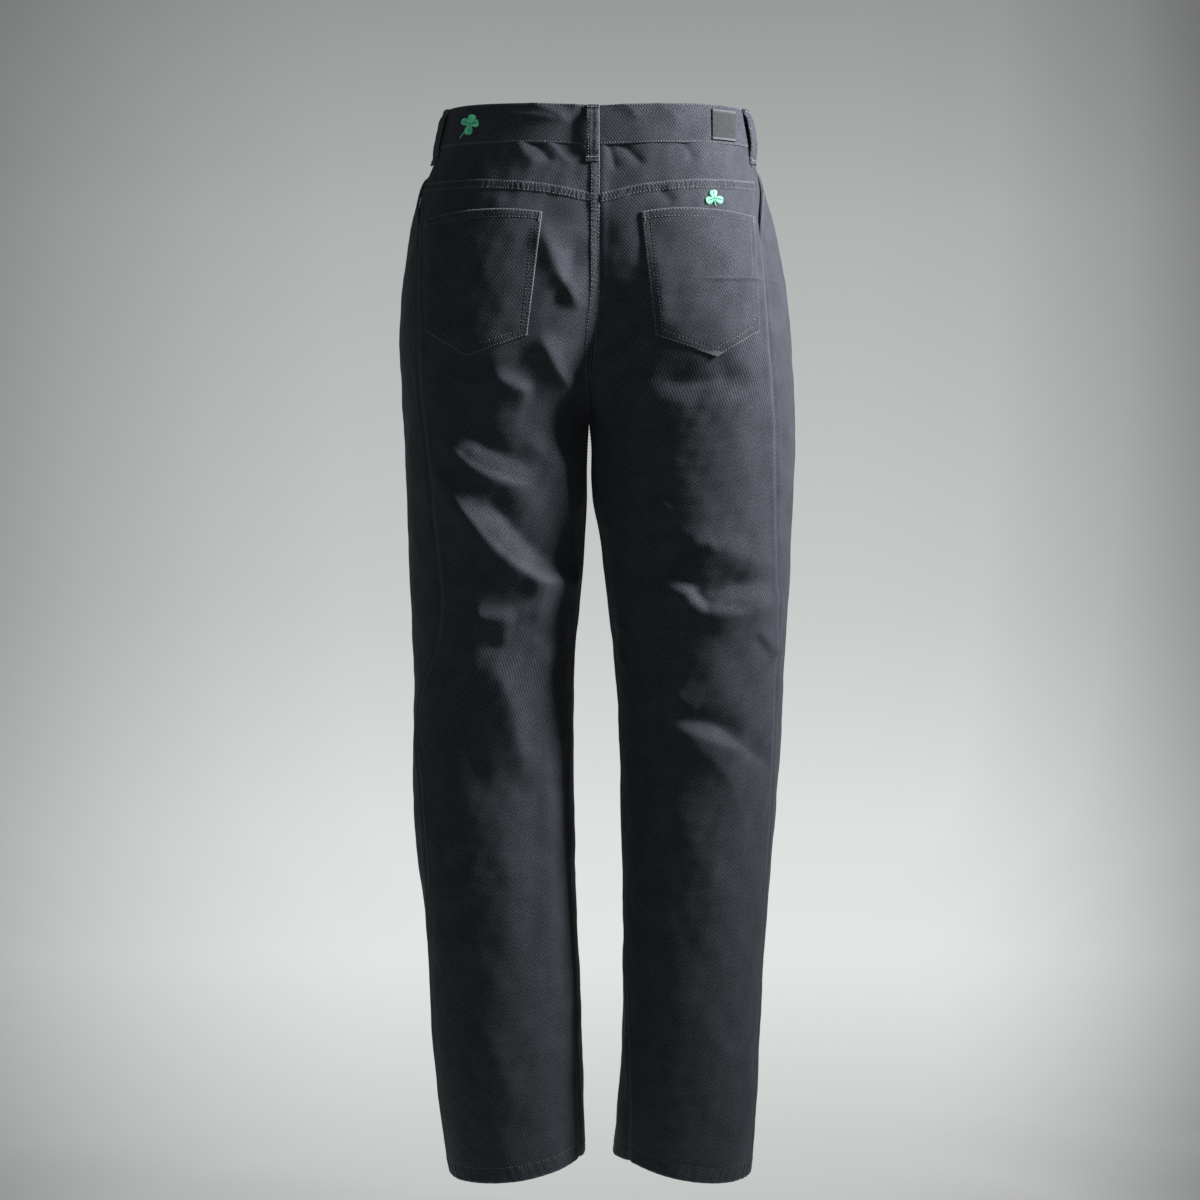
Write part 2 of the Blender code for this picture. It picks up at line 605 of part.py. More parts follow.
def make_facing(side, denim):
    """The piece that closes a front pocket mouth from behind, lapped under its neighbours."""
    across = np.linspace(FACING_FROM, 1.0 + FACING_BEHIND_SIDE, FACING_COLUMNS + 1)
    top = level_line(WAIST_TOP, across) - BAND_HEIGHT - SEAM_GAP / 2
    bottom = np.minimum(mouth_level(np.minimum(across, 1.0)) - FACING_LAP, top - FACING_LAP)
    down = np.linspace(0.0, 1.0, FACING_ROWS + 1)[:, None]
    z = top + (bottom - top) * down
    part = np.where(across > 1.0, BACK, FRONT)
    share = np.where(across > 1.0, across - 1.0, across)
    points, normals = cloth(side, part[None, :], share[None, :], z, pull=0.0)
    cloth_wall("pocket_facing_" + SIDE_NAMES[side], side, points, normals,
               -FACING_DEPTH, -FACING_DEPTH - POCKET_CLOTH, denim)


def share_at_x(side, x, z):
    """The share across a back panel at which it lies a distance to one side of the origin."""
    shape = z.shape
    flat_z = z.ravel()
    flat_x = np.broadcast_to(x, shape).ravel()
    sides = np.full(flat_z.shape, side)
    parts = np.full(flat_z.shape, BACK)
    low = np.zeros(flat_z.shape)
    high = np.ones(flat_z.shape)
    for _ in range(TRIM_STEPS):
        share = 0.5 * (low + high)
        beyond = side * bare_surface(sides, parts, share, flat_z, 0.0)[:, 0] > flat_x
        low = np.where(beyond, share, low)
        high = np.where(beyond, high, share)
    return low.reshape(shape)


def make_back_pocket(row, denim):
    """A five-sided patch pocket, its grid pointed at the bottom, laid on the back panel."""
    spot = dict(zip(POCKET_COLUMNS, row))
    side = spot["side"]
    bottom_span = spot["bottom_outer"][0] - spot["bottom_inner"][0]
    point_share = (spot["bottom_outer"][0] - spot["point"][0]) / bottom_span
    across = np.concatenate([np.linspace(0.0, point_share, POCKET_OUTER_COLUMNS + 1),
                             np.linspace(point_share, 1.0, POCKET_INNER_COLUMNS + 1)[1:]])
    down = np.linspace(0.0, 1.0, POCKET_ROWS + 1)[:, None]
    top_x = spot["top_outer"][0] + (spot["top_inner"][0] - spot["top_outer"][0]) * across
    bottom_x = spot["bottom_outer"][0] - bottom_span * across
    top_z = spot["top_outer"][1] + (spot["top_inner"][1] - spot["top_outer"][1]) * across
    top_z = top_z + POCKET_CROWN * 4.0 * across * (1.0 - across)
    bottom_z = np.interp(across, (0.0, point_share, 1.0),
                         (spot["bottom_outer"][1], spot["point"][1], spot["bottom_inner"][1]))
    x = top_x + (bottom_x - top_x) * down
    z = top_z + (bottom_z - top_z) * down
    points, normals = cloth(side, BACK, share_at_x(side, x, z), z)
    cloth_wall("back_pocket_" + SIDE_NAMES[side], side, points, normals,
               LAID_GAP + POCKET_CLOTH, LAID_GAP, denim)


def around_waist(place):
    """Side, panel and share for places round the waist from 0, the centre front, to 4."""
    turn = np.mod(place, 4.0)
    side = np.where(turn < 2.0, RIGHT, LEFT)
    half = np.where(turn < 2.0, turn, 4.0 - turn)
    part = np.where(half < 1.0, FRONT, BACK)
    share = np.where(half < 1.0, half, half - 1.0)
    return side, part, share, half


def waist_points(place, z, stand_off):
    """Points at a height and a distance off the panels, round the waist."""
    side, part, share, _ = around_waist(place)
    side, part, share, z = np.broadcast_arrays(side, part, share, z)
    points, normals = cloth(side, part, share, z, pull=0.0)
    return points + normals * np.asarray(stand_off)[..., None]


def make_waistband(denim):
    """An open ring of doubled cloth whose left end laps over its right end."""
    place = np.linspace(-UNDERLAP, 4.0 + OVERLAP, BAND_COLUMNS + 1)
    half = around_waist(place)[3]
    top = level_line(WAIST_TOP, half)
    down = np.linspace(0.0, 1.0, BAND_ROWS + 1)[:, None]
    z = top - (BAND_HEIGHT - SEAM_GAP / 2) * down
    lapped_under = 1.0 - ease((place - OVERLAP) / LAP_BLEND)
    sunk = (BAND_CLOTH + 2 * SEAM_GAP) * lapped_under
    outer = waist_points(place[None, :], z, np.broadcast_to(BAND_PROUD - sunk, z.shape))
    inner = waist_points(place[None, :], z, np.broadcast_to(BAND_PROUD - BAND_CLOTH - sunk, z.shape))
    wall("waistband", outer, inner, denim)


def make_belt_loops(denim):
    """Five loops, tacked at both ends and standing off the waistband between."""
    shares, stands = np.array(LOOP_PROFILE).T
    for name, place in LOOPS.items():
        side, part, share, half = around_waist(np.array(place))
        top = level_line(WAIST_TOP, half) - LOOP_TOP_BELOW_BAND
        z = (top - LOOP_LENGTH * shares)[:, None]
        step = waist_points(np.array([place, place + LOOP_PLACE_STEP]), np.array([top, top]), np.zeros(2))
        width = LOOP_WIDTH * LOOP_PLACE_STEP / np.linalg.norm(step[1] - step[0])
        places = place + width * np.array([-0.5, 0.0, 0.5])[None, :]
        inner = waist_points(places, z, np.broadcast_to(stands[:, None], (len(stands), 3)))
        outer = waist_points(places, z, np.broadcast_to(stands[:, None] + LOOP_CLOTH, (len(stands), 3)))
        wall(name, outer, inner, denim)


def make_patch(leather):
    """A blank rectangle of leather on the waistband."""
    x = np.linspace(PATCH_FROM_X, PATCH_TO_X, PATCH_COLUMNS + 1)[None, :]
    top = level_line(WAIST_TOP, np.array(PATCH_PLACE)) - PATCH_TOP_DOWN
    down = np.linspace(0.0, PATCH_HEIGHT, PATCH_ROWS + 1)[:, None]
    z = np.broadcast_to(top - down, (PATCH_ROWS + 1, PATCH_COLUMNS + 1))
    points, normals = cloth(RIGHT, BACK, share_at_x(RIGHT, -x, z), z, pull=0.0)
    on_band = BAND_PROUD + PATCH_GAP
    wall("waist_patch", points + normals * (on_band + PATCH_LEATHER), points + normals * on_band, leather)


def make_button(metal):
    """A turned button, domed in front, its axis square to the waistband."""
    level = level_line(WAIST_TOP, np.array(BUTTON_PLACE)) - BAND_HEIGHT / 2
    place = np.array(4.0 - BUTTON_PLACE)
    seat = waist_points(place, level, np.array(BAND_PROUD + BUTTON_GAP))
    outward = Vector(waist_points(place, level, np.array(1.0)) - waist_points(place, level, np.array(0.0)))
    mesh = bpy.data.meshes.new("waist_button")
    mesh.from_pydata([(radius * METRES, 0.0, height * METRES) for radius, height in BUTTON_PROFILE],
                     [(i, i + 1) for i in range(len(BUTTON_PROFILE) - 1)], [])
    button = add_object("waist_button", mesh, metal)
    turned = button.modifiers.new("turned", "SCREW")
    turned.steps = BUTTON_SIDES
    turned.render_steps = BUTTON_SIDES
    turned.use_merge_vertices = True
    turned.merge_threshold = 0.00001
    button.location = (float(seat[0]) * METRES, float(seat[1]) * METRES, float(seat[2]) * METRES)
    button.rotation_euler = outward.to_track_quat("Z", "Y").to_euler()


def build():
    for old in list(bpy.data.objects):
        bpy.data.objects.remove(old, do_unlink=True)
    bpy.context.scene.collection.children.link(bpy.data.collections.new(COLLECTION))
    denim = material("black_denim", (0.022, 0.024, 0.027), 0.85)
    leather = material("grey_leather", (0.17, 0.17, 0.18), 0.55)
    metal = material("dark_metal", (0.18, 0.18, 0.19), 0.35, 1.0)
    for side in (LEFT, RIGHT):
        make_front(side, denim)
        make_back(side, denim)
        make_yoke(side, denim)
        make_facing(side, denim)
    for row in POCKETS:
        make_back_pocket(row, denim)
    make_waistband(denim)
    make_belt_loops(denim)
    make_patch(leather)
    make_button(metal)


build()
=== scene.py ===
"""Looks of straight-leg black denim trousers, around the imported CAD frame.

Every cloth piece is a fine shell on the same surface as its CAD solid, with its folds, seams,
stitching and weave. Lengths are in millimetres until a mesh is made. The back faces +Y.
"""

import math

import bpy
import numpy as np
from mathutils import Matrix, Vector


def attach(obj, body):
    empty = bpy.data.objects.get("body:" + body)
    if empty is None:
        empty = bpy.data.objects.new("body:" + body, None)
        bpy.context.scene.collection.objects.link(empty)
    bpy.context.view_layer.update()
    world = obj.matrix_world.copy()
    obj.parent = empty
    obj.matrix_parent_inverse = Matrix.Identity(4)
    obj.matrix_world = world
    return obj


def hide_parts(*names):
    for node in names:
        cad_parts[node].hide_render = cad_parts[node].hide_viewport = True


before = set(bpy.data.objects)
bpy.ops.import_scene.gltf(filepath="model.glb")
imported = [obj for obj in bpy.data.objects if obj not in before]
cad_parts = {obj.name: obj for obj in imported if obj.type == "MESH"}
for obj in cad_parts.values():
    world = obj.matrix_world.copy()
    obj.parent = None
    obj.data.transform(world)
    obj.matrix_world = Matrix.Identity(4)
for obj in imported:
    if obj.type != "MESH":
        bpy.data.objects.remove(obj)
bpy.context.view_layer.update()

METRES = 0.001

# Cloth and sewing
CLOTH = 1.8
BAND_CLOTH = 2.6
BAND_PROUD = 0.8
POCKET_CLOTH = 1.6
FACING_DEPTH = 3.2

# Waist, seat and crotch
BAND_HEIGHT = 39.0
CROTCH_Z = -287.0
CROTCH_SHIFT = 9.0
SHIFT_TOP_Z = -150.0
FORK_SLOPE = 0.0030
FORK_CURVE = 0.00019

LEFT = 1
RIGHT = -1
FRONT = 0
BACK = 1

# One row for each level: where both halves reach outside, in front and behind, where along the
# half-width the front and back stand out most, and how full the quarters are.
SECTION_COLUMNS = ("z", "left_out", "right_out", "front", "back", "outer_y", "front_at", "back_at",
                   "fullness")
SECTIONS = (
    (20, 153, 151, -105, 104, 0, 0.18, 0.20, 0.57),
    (-20, 160, 157, -110, 109, 2, 0.21, 0.25, 0.575),
    (-50, 174, 163, -114, 115, 4, 0.25, 0.31, 0.58),
    (-90, 184, 174, -118, 124, 6, 0.30, 0.36, 0.58),
    (-140, 192, 184, -119, 131, 7, 0.36, 0.40, 0.585),
    (-200, 197, 191, -117, 133, 7, 0.42, 0.44, 0.59),
    (-250, 195, 194, -112, 127, 6, 0.46, 0.47, 0.59),
    (-290, 193, 196, -107, 118, 5, 0.49, 0.49, 0.59),
    (-340, 191, 195, -103, 110, 4, 0.50, 0.50, 0.59),
    (-400, 189, 192, -98, 102, 2, 0.50, 0.50, 0.58),
    (-460, 187, 190, -92, 94, 0, 0.50, 0.50, 0.58),
    (-520, 184, 186, -87, 86, -2, 0.50, 0.50, 0.58),
    (-580, 184, 184, -81, 81, -2, 0.50, 0.50, 0.58),
    (-640, 185, 180, -76, 79, 0, 0.50, 0.50, 0.58),
    (-700, 182, 175, -71, 80, 3, 0.50, 0.50, 0.58),
    (-760, 174, 170, -67, 82, 6, 0.50, 0.50, 0.58),
    (-820, 169, 165, -64, 84, 9, 0.50, 0.50, 0.58),
    (-900, 165, 161, -61, 86, 11, 0.50, 0.50, 0.58),
    (-980, 156, 157, -59, 87, 13, 0.50, 0.50, 0.58),
    (-1040, 147, 152, -58, 87, 14, 0.50, 0.50, 0.58),
)

# Below the crotch: the inner reach of each leg, its depth, and how far round to the back each
# inseam lies from the innermost line.
LEG_COLUMNS = ("z", "left_in", "right_in", "inner_y", "left_inseam", "right_inseam")
LEGS = (
    (-287, 9.2, 8.8, 8, 0, 0),
    (-310, 10.5, 6.5, 7, 1, 1),
    (-340, 11.5, 6.5, 6, 4, 4),
    (-365, 11.5, 4.5, 5, 7, 7),
    (-400, 13, -2, 3, 12, 10),
    (-460, 17, -9, 0, 20, 15),
    (-520, 23, -16, -2, 24, 19),
    (-580, 24, -20, -2, 29, 20),
    (-640, 24, -22, 0, 38, 17),
    (-700, 23, -23, 3, 37, 14),
    (-760, 22, -25, 6, 34, 15),
    (-820, 18.5, -25, 9, 32, 19),
    (-900, 16, -24, 11, 31, 33),
    (-980, 13.5, -18, 13, 30, 48),
    (-1040, 12, -12, 14, 30, 52),
)

# The side seams as they show from behind.
OUTSEAM_COLUMNS = ("z", "left_x", "right_x")
OUTSEAMS = (
    (20, 148, 143),
    (-20, 157, 149),
    (-60, 171, 153),
    (-130, 175, 160),
    (-200, 174, 165),
    (-250, 173, 169),
    (-290, 169, 172),
    (-335, 163, 173),
    (-375, 159, 174),
    (-420, 155, 175),
    (-465, 152, 176),
    (-510, 158, 176),
    (-545, 172, 175),
    (-580, 179, 174),
    (-660, 174, 171),
    (-730, 169, 167),
    (-790, 168, 164),
    (-860, 166, 160),
    (-1040, 147, 150),
)

# Levels that run round the garment, given at the centre front (0), side seam (1) and centre
# back (2) of each half.
WAIST_TOP = ((0, 10), (0.6, 15), (1, 20), (1.6, 19), (2, 16.5))
YOKE_SEAM = ((0, -54), (1, -54), (1.55, -54), (1.75, -57), (1.92, -63), (2, -66))
HEM = ((0, -1012), (0.5, -1018), (1, -1031), (1.5, -1029), (2, -1012))

# Folds that stand or sink more than 2 mm, as seen from one side. A line's points are across and
# z; wide_above and wide_below are how far the fold spreads to each side of its line.
FOLD_COLUMNS = ("name", "view", "height", "wide_above", "wide_below", "line")
FOLDS = (
    ("thigh_crest", "back", 7, 13, 20, ((150, -300), (120, -328), (93, -343), (56, -351))),
    ("thigh_trough", "back", -5, 16, 12, ((140, -282), (116, -304), (88, -322), (50, -331))),
    ("knee_back_crest", "back", 11, 14, 26,
     ((150, -336), (118, -380), (86, -418), (62, -438), (20, -441))),
    ("knee_back_trough", "back", -7, 17, 13, ((112, -352), (84, -388), (56, -414), (24, -422))),
    ("inner_thigh_crest", "back", 5, 10, 12, ((44, -292), (39, -340), (29, -400), (18, -424))),
    ("below_knee_shelf", "back", 4, 14, 18, ((128, -474), (104, -478), (78, -483))),
    ("below_knee_trough", "back", -4, 14, 14, ((120, -497), (86, -506), (56, -470))),
    ("calf_crest", "back", 5, 14, 16, ((108, -512), (86, -562), (70, -650))),
    ("calf_hollow", "back", -4, 16, 16, ((140, -520), (128, -580), (112, -660))),
    ("seat_crest", "back", 4, 10, 12, ((58, -92), (40, -140), (18, -186))),
    ("seat_trough", "back", -3, 10, 10, ((44, -190), (28, -150), (20, -104))),
    ("under_seat_crest", "back", 6, 10, 14, ((58, -199), (48, -222), (34, -246), (20, -262))),
    ("under_pocket_crest", "back", 5, 9, 14, ((106, -242), (84, -252), (60, -262))),
    ("fork_hollow", "back", -6, 22, 22, ((-20, -150), (-26, -200), (-22, -262))),
    ("right_knee_crest", "back", 9, 14, 20,
     ((-50, -443), (-84, -450), (-107, -469), (-141, -467), (-168, -459), (-186, -448))),
    ("right_knee_trough", "back", -7, 15, 12,
     ((-44, -424), (-74, -432), (-104, -452), (-140, -446), (-170, -438))),
    ("right_thigh_ridge", "back", 4, 16, 18, ((-70, -388), (-110, -408), (-181, -432))),
    ("right_shin_ridge", "back", 4, 12, 14, ((-150, -488), (-166, -504), (-182, -522))),
    ("right_calf_crest", "back", 6, 15, 22,
     ((-70, -586), (-104, -594), (-130, -604), (-154, -613))),
    ("right_calf_trough", "back", -4, 16, 12,
     ((-66, -572), (-100, -577), (-128, -587), (-148, -596))),
    ("left_groin_crease", "front", -5, 9, 12, ((26, -236), (70, -212), (122, -190))),
    ("left_groin_crest", "front", 4, 10, 12, ((30, -262), (78, -242), (132, -228))),
    ("right_groin_crease", "front", -5, 9, 12, ((-16, -240), (-64, -218), (-120, -198))),
    ("right_groin_crest", "front", 4, 10, 12, ((-18, -268), (-70, -250), (-128, -240))),
    ("left_knee_front_crest", "front", 6, 12, 20, ((36, -566), (92, -584), (160, -560))),
    ("left_knee_front_trough", "front", -5, 16, 12, ((40, -540), (94, -556), (156, -534))),
    ("right_knee_front_crest", "front", 6, 12, 20, ((-34, -548), (-88, -572), (-158, -556))),
    ("right_knee_front_trough", "front", -5, 16, 12, ((-38, -524), (-92, -546), (-152, -530))),
    ("left_hem_break", "front", 5, 12, 18, ((28, -930), (76, -948), (132, -934))),
    ("right_hem_break", "front", 5, 12, 18, ((-30, -944), (-80, -958), (-136, -938))),
)
# A fold fades where the surface turns away from its view, and over this share of its ends.
TURNED_AWAY = 0.05
TURNED_TOWARDS = 0.5
FOLD_POWER = 1.6
FOLD_END = 0.28
FOLD_MARGIN = 3.4
LINE_STEPS = 6

# A leg panel runs from the yoke seam to the hem, and its rows are level between these two.
TOP_LEVEL = -60.0
HEM_LEVEL = -1030.0
TOP_SETTLE = 130.0
HEM_SETTLE = 150.0
BACK_CROWD = -0.08
FRONT_CROWD = 0.12

# Back pockets, as they show from behind: the distance from the middle and the level of each
# corner, and the crown of the top edge.
POCKET_COLUMNS = ("side", "top_outer", "top_inner", "bottom_inner", "point", "bottom_outer")
POCKETS = (
    (LEFT, (168.5, -91), (53, -87.5), (67.5, -206), (125, -226), (166.5, -200)),
    (RIGHT, (151, -89), (41, -87.5), (55, -206), (114, -226), (155, -201)),
)
POCKET_CROWN = 5.0

# Front pocket mouths: where the curve leaves the waist seam, and its lowest level at the side.
MOUTH_START = 0.50
MOUTH_BOTTOM = -112.0
MOUTH_SETTLE_Z = -120.0
# The facing behind each mouth starts nearer the middle, ends behind the side seam and laps below.
FACING_FROM = 0.42
FACING_BEHIND_SIDE = 0.035
FACING_LAP = 16.0

# The waistband's ends lap at the centre front, the wearer's left end on top.
UNDERLAP = 0.17
OVERLAP = 0.035
LAP_BLEND = 0.14

# Belt loops: place round the waist, with 0 at the centre front, 1 at the right side seam, 2 at
# the centre back and 3 at the left side seam.
LOOPS = {"belt_loop_front_right": 0.40, "belt_loop_side_right": 1.0, "belt_loop_back": 2.026,
         "belt_loop_side_left": 2.98, "belt_loop_front_left": 3.60}
LOOP_WIDTH = 12.5
LOOP_TOP_BELOW_BAND = 0.5
LOOP_LENGTH = 55.0
# Share of the loop's length from its top, and how far its inner face stands off the panels.
LOOP_PROFILE = ((0.0, 1.2), (0.07, 1.3), (0.16, 3.4), (0.30, 4.2), (0.50, 4.3), (0.68, 3.8),
                (0.82, 2.2), (0.90, 0.65), (1.0, 0.6))
LOOP_PLACE_STEP = 0.01

# The blank leather patch on the right of the back waistband, as seen from behind.
PATCH_PLACE = 1.45
PATCH_FROM_X = -109.0
PATCH_TO_X = -132.5
PATCH_TOP_DOWN = 4.5
PATCH_HEIGHT = 31.0
PATCH_GAP = 0.4

# Waist button
BUTTON_PLACE = 0.06
BUTTON_GAP = 0.4
# Distance from the button's axis and height above its back.
BUTTON_RINGS = ((0.3, 2.75), (2.6, 2.7), (3.0, 2.3), (3.6, 2.3), (4.0, 2.8), (5.2, 2.75),
                (7.3, 2.45), (8.2, 2.0), (8.5, 1.5), (8.5, 0.9), (8.2, 0.5), (4.0, 0.4),
                (3.6, 0.0), (0.3, 0.0))
BUTTON_SIDES = 64

# How finely a section is measured, and how many times a place on it is halved in on.
QUARTER_STEPS = 16
TRIM_STEPS = 30

# How far the side seams stay inside the outline.
OUTSEAM_INSIDE = 0.3

# How the columns of a panel give way to the crotch seam, and how high above it they are even.
SPREAD_EASE = 0.6
SPREAD_POWER = 5.0
SPREAD_HEIGHT = 110.0

# Small steps along and up the surface that give its normals.
SLOPE_ALONG = 0.004
SLOPE_UP = 0.6


def table(columns, rows):
    """The columns of a table by name, with its levels rising."""
    data = np.array(rows, dtype=float)[::-1]
    return {name: data[:, index] for index, name in enumerate(columns)}


SECTION = table(SECTION_COLUMNS, SECTIONS)
LEG = table(LEG_COLUMNS, LEGS)
OUTSEAM = table(OUTSEAM_COLUMNS, OUTSEAMS)


def ease(value):
    """Zero to one with level ends."""
    clipped = np.clip(value, 0.0, 1.0)
    return clipped * clipped * (3.0 - 2.0 * clipped)


def bell(distance, reach):
    """One at no distance, falling away smoothly within a reach or two."""
    return np.exp(-(distance / reach) ** 2)


def rounded_edge(distance, radius):
    """A quarter round from the edge inwards, from zero to one."""
    return np.sqrt(np.clip(1.0 - (1.0 - np.clip(distance / radius, 0.0, 1.0)) ** 2, 0.0, 1.0))


def smooth_column(at, knots, values):
    """A smooth curve through the values of one column."""
    slopes = np.gradient(values, knots)
    low = np.clip(np.searchsorted(knots, at) - 1, 0, len(knots) - 2)
    step = knots[low + 1] - knots[low]
    part = np.clip((at - knots[low]) / step, 0.0, 1.0)
    rest = 1.0 - part
    return (values[low] * (1 + 2 * part) * rest ** 2 + values[low + 1] * part ** 2 * (3 - 2 * part)
            + step * part * rest * (slopes[low] * rest - slopes[low + 1] * part))


def column(source, name, z):
    return smooth_column(z, source["z"], source[name])


def sided(source, end, side, z):
    """A column that has one value for each side of the garment."""
    return np.where(side > 0, column(source, "left" + end, z), column(source, "right" + end, z))


def level_line(line, around):
    """A level that changes round the garment, read at a place from 0 to 2."""
    knots, values = np.array(line, dtype=float).T
    return smooth_column(around, knots, values)


def median_x(z):
    """The middle line of the garment, which drifts to the wearer's left at the crotch."""
    return CROTCH_SHIFT * ease((SHIFT_TOP_Z - z) / (SHIFT_TOP_Z - CROTCH_Z))


def trimmed(quarter):
    """The stretch of each quarter from the middle outwards."""
    low = np.zeros(len(quarter))
    high = np.ones(len(quarter))
    for _ in range(TRIM_STEPS):
        place = 0.5 * (low + high)
        rest = 1.0 - place
        across = (quarter[:, 0, 0] * rest ** 3 + 3 * quarter[:, 1, 0] * rest ** 2 * place
                  + 3 * quarter[:, 2, 0] * rest * place ** 2 + quarter[:, 3, 0] * place ** 3)
        short = across < 0.0
        low = np.where(short, place, low)
        high = np.where(short, high, place)
    cut = np.where(quarter[:, 0, 0] >= 0.0, 0.0, low)[:, None]
    first = quarter[:, 0] + (quarter[:, 1] - quarter[:, 0]) * cut
    second = quarter[:, 1] + (quarter[:, 2] - quarter[:, 1]) * cut
    third = quarter[:, 2] + (quarter[:, 3] - quarter[:, 2]) * cut
    fourth = first + (second - first) * cut
    fifth = second + (third - second) * cut
    return np.stack([fourth + (fifth - fourth) * cut, fifth, third, quarter[:, 3]], axis=1)


def quarter_curve(from_u, from_y, to_u, to_y, full):
    """A quarter that leaves its first point along y and reaches its last point across."""
    points = ((from_u, from_y), (from_u, from_y + full * (to_y - from_y)),
              (to_u - full * (to_u - from_u), to_y), (to_u, to_y))
    return np.stack([np.stack(pair, axis=-1) for pair in points], axis=1)


def quarters(side, z):
    """Control points of the four quarters of a section, as distance from the middle and y.

    Above the crotch each leg's ring runs past the middle, further the higher it lies, and is cut
    there. That gives the curve of the crotch seam and the hollow between the two halves.
    """
    middle = median_x(z)
    out = side * (side * sided(SECTION, "_out", side, z) - middle)
    leg_in = side * (sided(LEG, "_in", side, np.minimum(z, CROTCH_Z)) - middle)
    inner = np.where(z < CROTCH_Z, np.maximum(leg_in, 0.0), 0.0)
    front = column(SECTION, "front", z)
    back = column(SECTION, "back", z)
    outer_y = column(SECTION, "outer_y", z)
    inner_y = column(LEG, "inner_y", np.minimum(z, CROTCH_Z))
    full = column(SECTION, "fullness", z)
    front_u = inner + (out - inner) * column(SECTION, "front_at", z)
    back_u = inner + (out - inner) * column(SECTION, "back_at", z)
    climb = np.maximum(z - CROTCH_Z, 0.0)
    past = FORK_SLOPE * climb + FORK_CURVE * climb ** 2
    front_quarter = quarter_curve(inner - front_u * past, inner_y, front_u, front, full)
    back_quarter = quarter_curve(inner - back_u * past, inner_y, back_u, back, full)
    outer_front = quarter_curve(out, outer_y, front_u, front, full)[:, ::-1]
    outer_back = quarter_curve(out, outer_y, back_u, back, full)
    return np.stack([trimmed(front_quarter), outer_front, outer_back,
                     trimmed(back_quarter)[:, ::-1]], axis=1)


def on_quarters(controls, place):
    """Points on the quarters at places from 0 to 4, for each section."""
    which = np.clip(place.astype(int), 0, 3)
    part = (place - which)[..., None]
    rest = 1.0 - part
    chosen = np.take_along_axis(controls, which[:, :, None, None], axis=1)
    return (chosen[..., 0, :] * rest ** 3 + 3 * chosen[..., 1, :] * rest ** 2 * part
            + 3 * chosen[..., 2, :] * rest * part ** 2 + chosen[..., 3, :] * part ** 3)


def row_values(at, known, values):
    """Each row's value at a place along that row's rising known numbers."""
    low = np.clip((known <= at[:, None]).sum(axis=1) - 1, 0, known.shape[1] - 2)[:, None]
    start = np.take_along_axis(known, low, 1)[:, 0]
    end = np.take_along_axis(known, low + 1, 1)[:, 0]
    first = np.take_along_axis(values, low, 1)[:, 0]
    last = np.take_along_axis(values, low + 1, 1)[:, 0]
    return first + (last - first) * (at - start) / np.maximum(end - start, 1e-9)


def section_marks(side, z):
    """A section's controls, its lengths along the curve, and the lengths at its seams."""
    controls = quarters(side, z)
    places = np.tile(np.linspace(0.0, 4.0, 4 * QUARTER_STEPS + 1), (len(z), 1))
    points = on_quarters(controls, places)
    steps = np.linalg.norm(np.diff(points, axis=1), axis=2)
    lengths = np.concatenate([np.zeros((len(z), 1)), np.cumsum(steps, axis=1)], axis=1)
    behind = slice(2 * QUARTER_STEPS, 4 * QUARTER_STEPS + 1)
    farthest = sided(SECTION, "_out", side, z) - OUTSEAM_INSIDE
    seam_x = np.minimum(sided(OUTSEAM, "_x", side, z), farthest)
    seam_u = side * (side * seam_x - median_x(z))
    outseam = row_values(-seam_u, -points[:, behind, 0], lengths[:, behind])
    inseam = np.where(z < CROTCH_Z, sided(LEG, "_inseam", side, np.minimum(z, CROTCH_Z)), 0.0)
    return controls, places, lengths, outseam, inseam


def spread(reach, cut, share, z):
    """Distance along a section for a share of a panel, counted from the middle of the garment.

    Just above the crotch the columns keep the places they have below it, and only those near the
    crotch seam give way to it. Higher up they are even.
    """
    power = np.clip(SPREAD_EASE * (reach + cut) / np.maximum(cut, 1.0), 1.0, SPREAD_POWER)
    steady = (reach + cut) * share - cut + cut * (1.0 - share) ** power
    return steady + (reach * share - steady) * ease((z - CROTCH_Z) / SPREAD_HEIGHT)


def bare_surface(side, part, share, z):
    """Points of the garment surface at a share of the way across a front or back panel."""
    controls, places, lengths, outseam, inseam = section_marks(side, z)
    inner_y = column(LEG, "inner_y", np.minimum(z, CROTCH_Z))
    front_cut = np.abs(controls[:, 0, 0, 1] - inner_y)
    back_cut = np.abs(controls[:, 3, 3, 1] - inner_y)
    back_to = lengths[:, -1] - inseam
    along = np.where(part == FRONT,
                     spread(outseam + inseam, front_cut, share, z) - inseam,
                     back_to - spread(back_to - outseam, back_cut, 1.0 - share, z))
    along = np.where(along < 0.0, along + lengths[:, -1], along)
    flat = on_quarters(controls, row_values(along, lengths, places)[:, None])[:, 0]
    return np.stack([median_x(z) + side * flat[:, 0], flat[:, 1], z], axis=1)


def smooth_line(line):
    """A fold's line, rounded through its points."""
    knots = np.arange(len(line), dtype=float)
    data = np.array(line, dtype=float)
    at = np.linspace(0.0, len(line) - 1.0, LINE_STEPS * (len(line) - 1) + 1)
    return np.stack([smooth_column(at, knots, data[:, k]) for k in (0, 1)], axis=1)


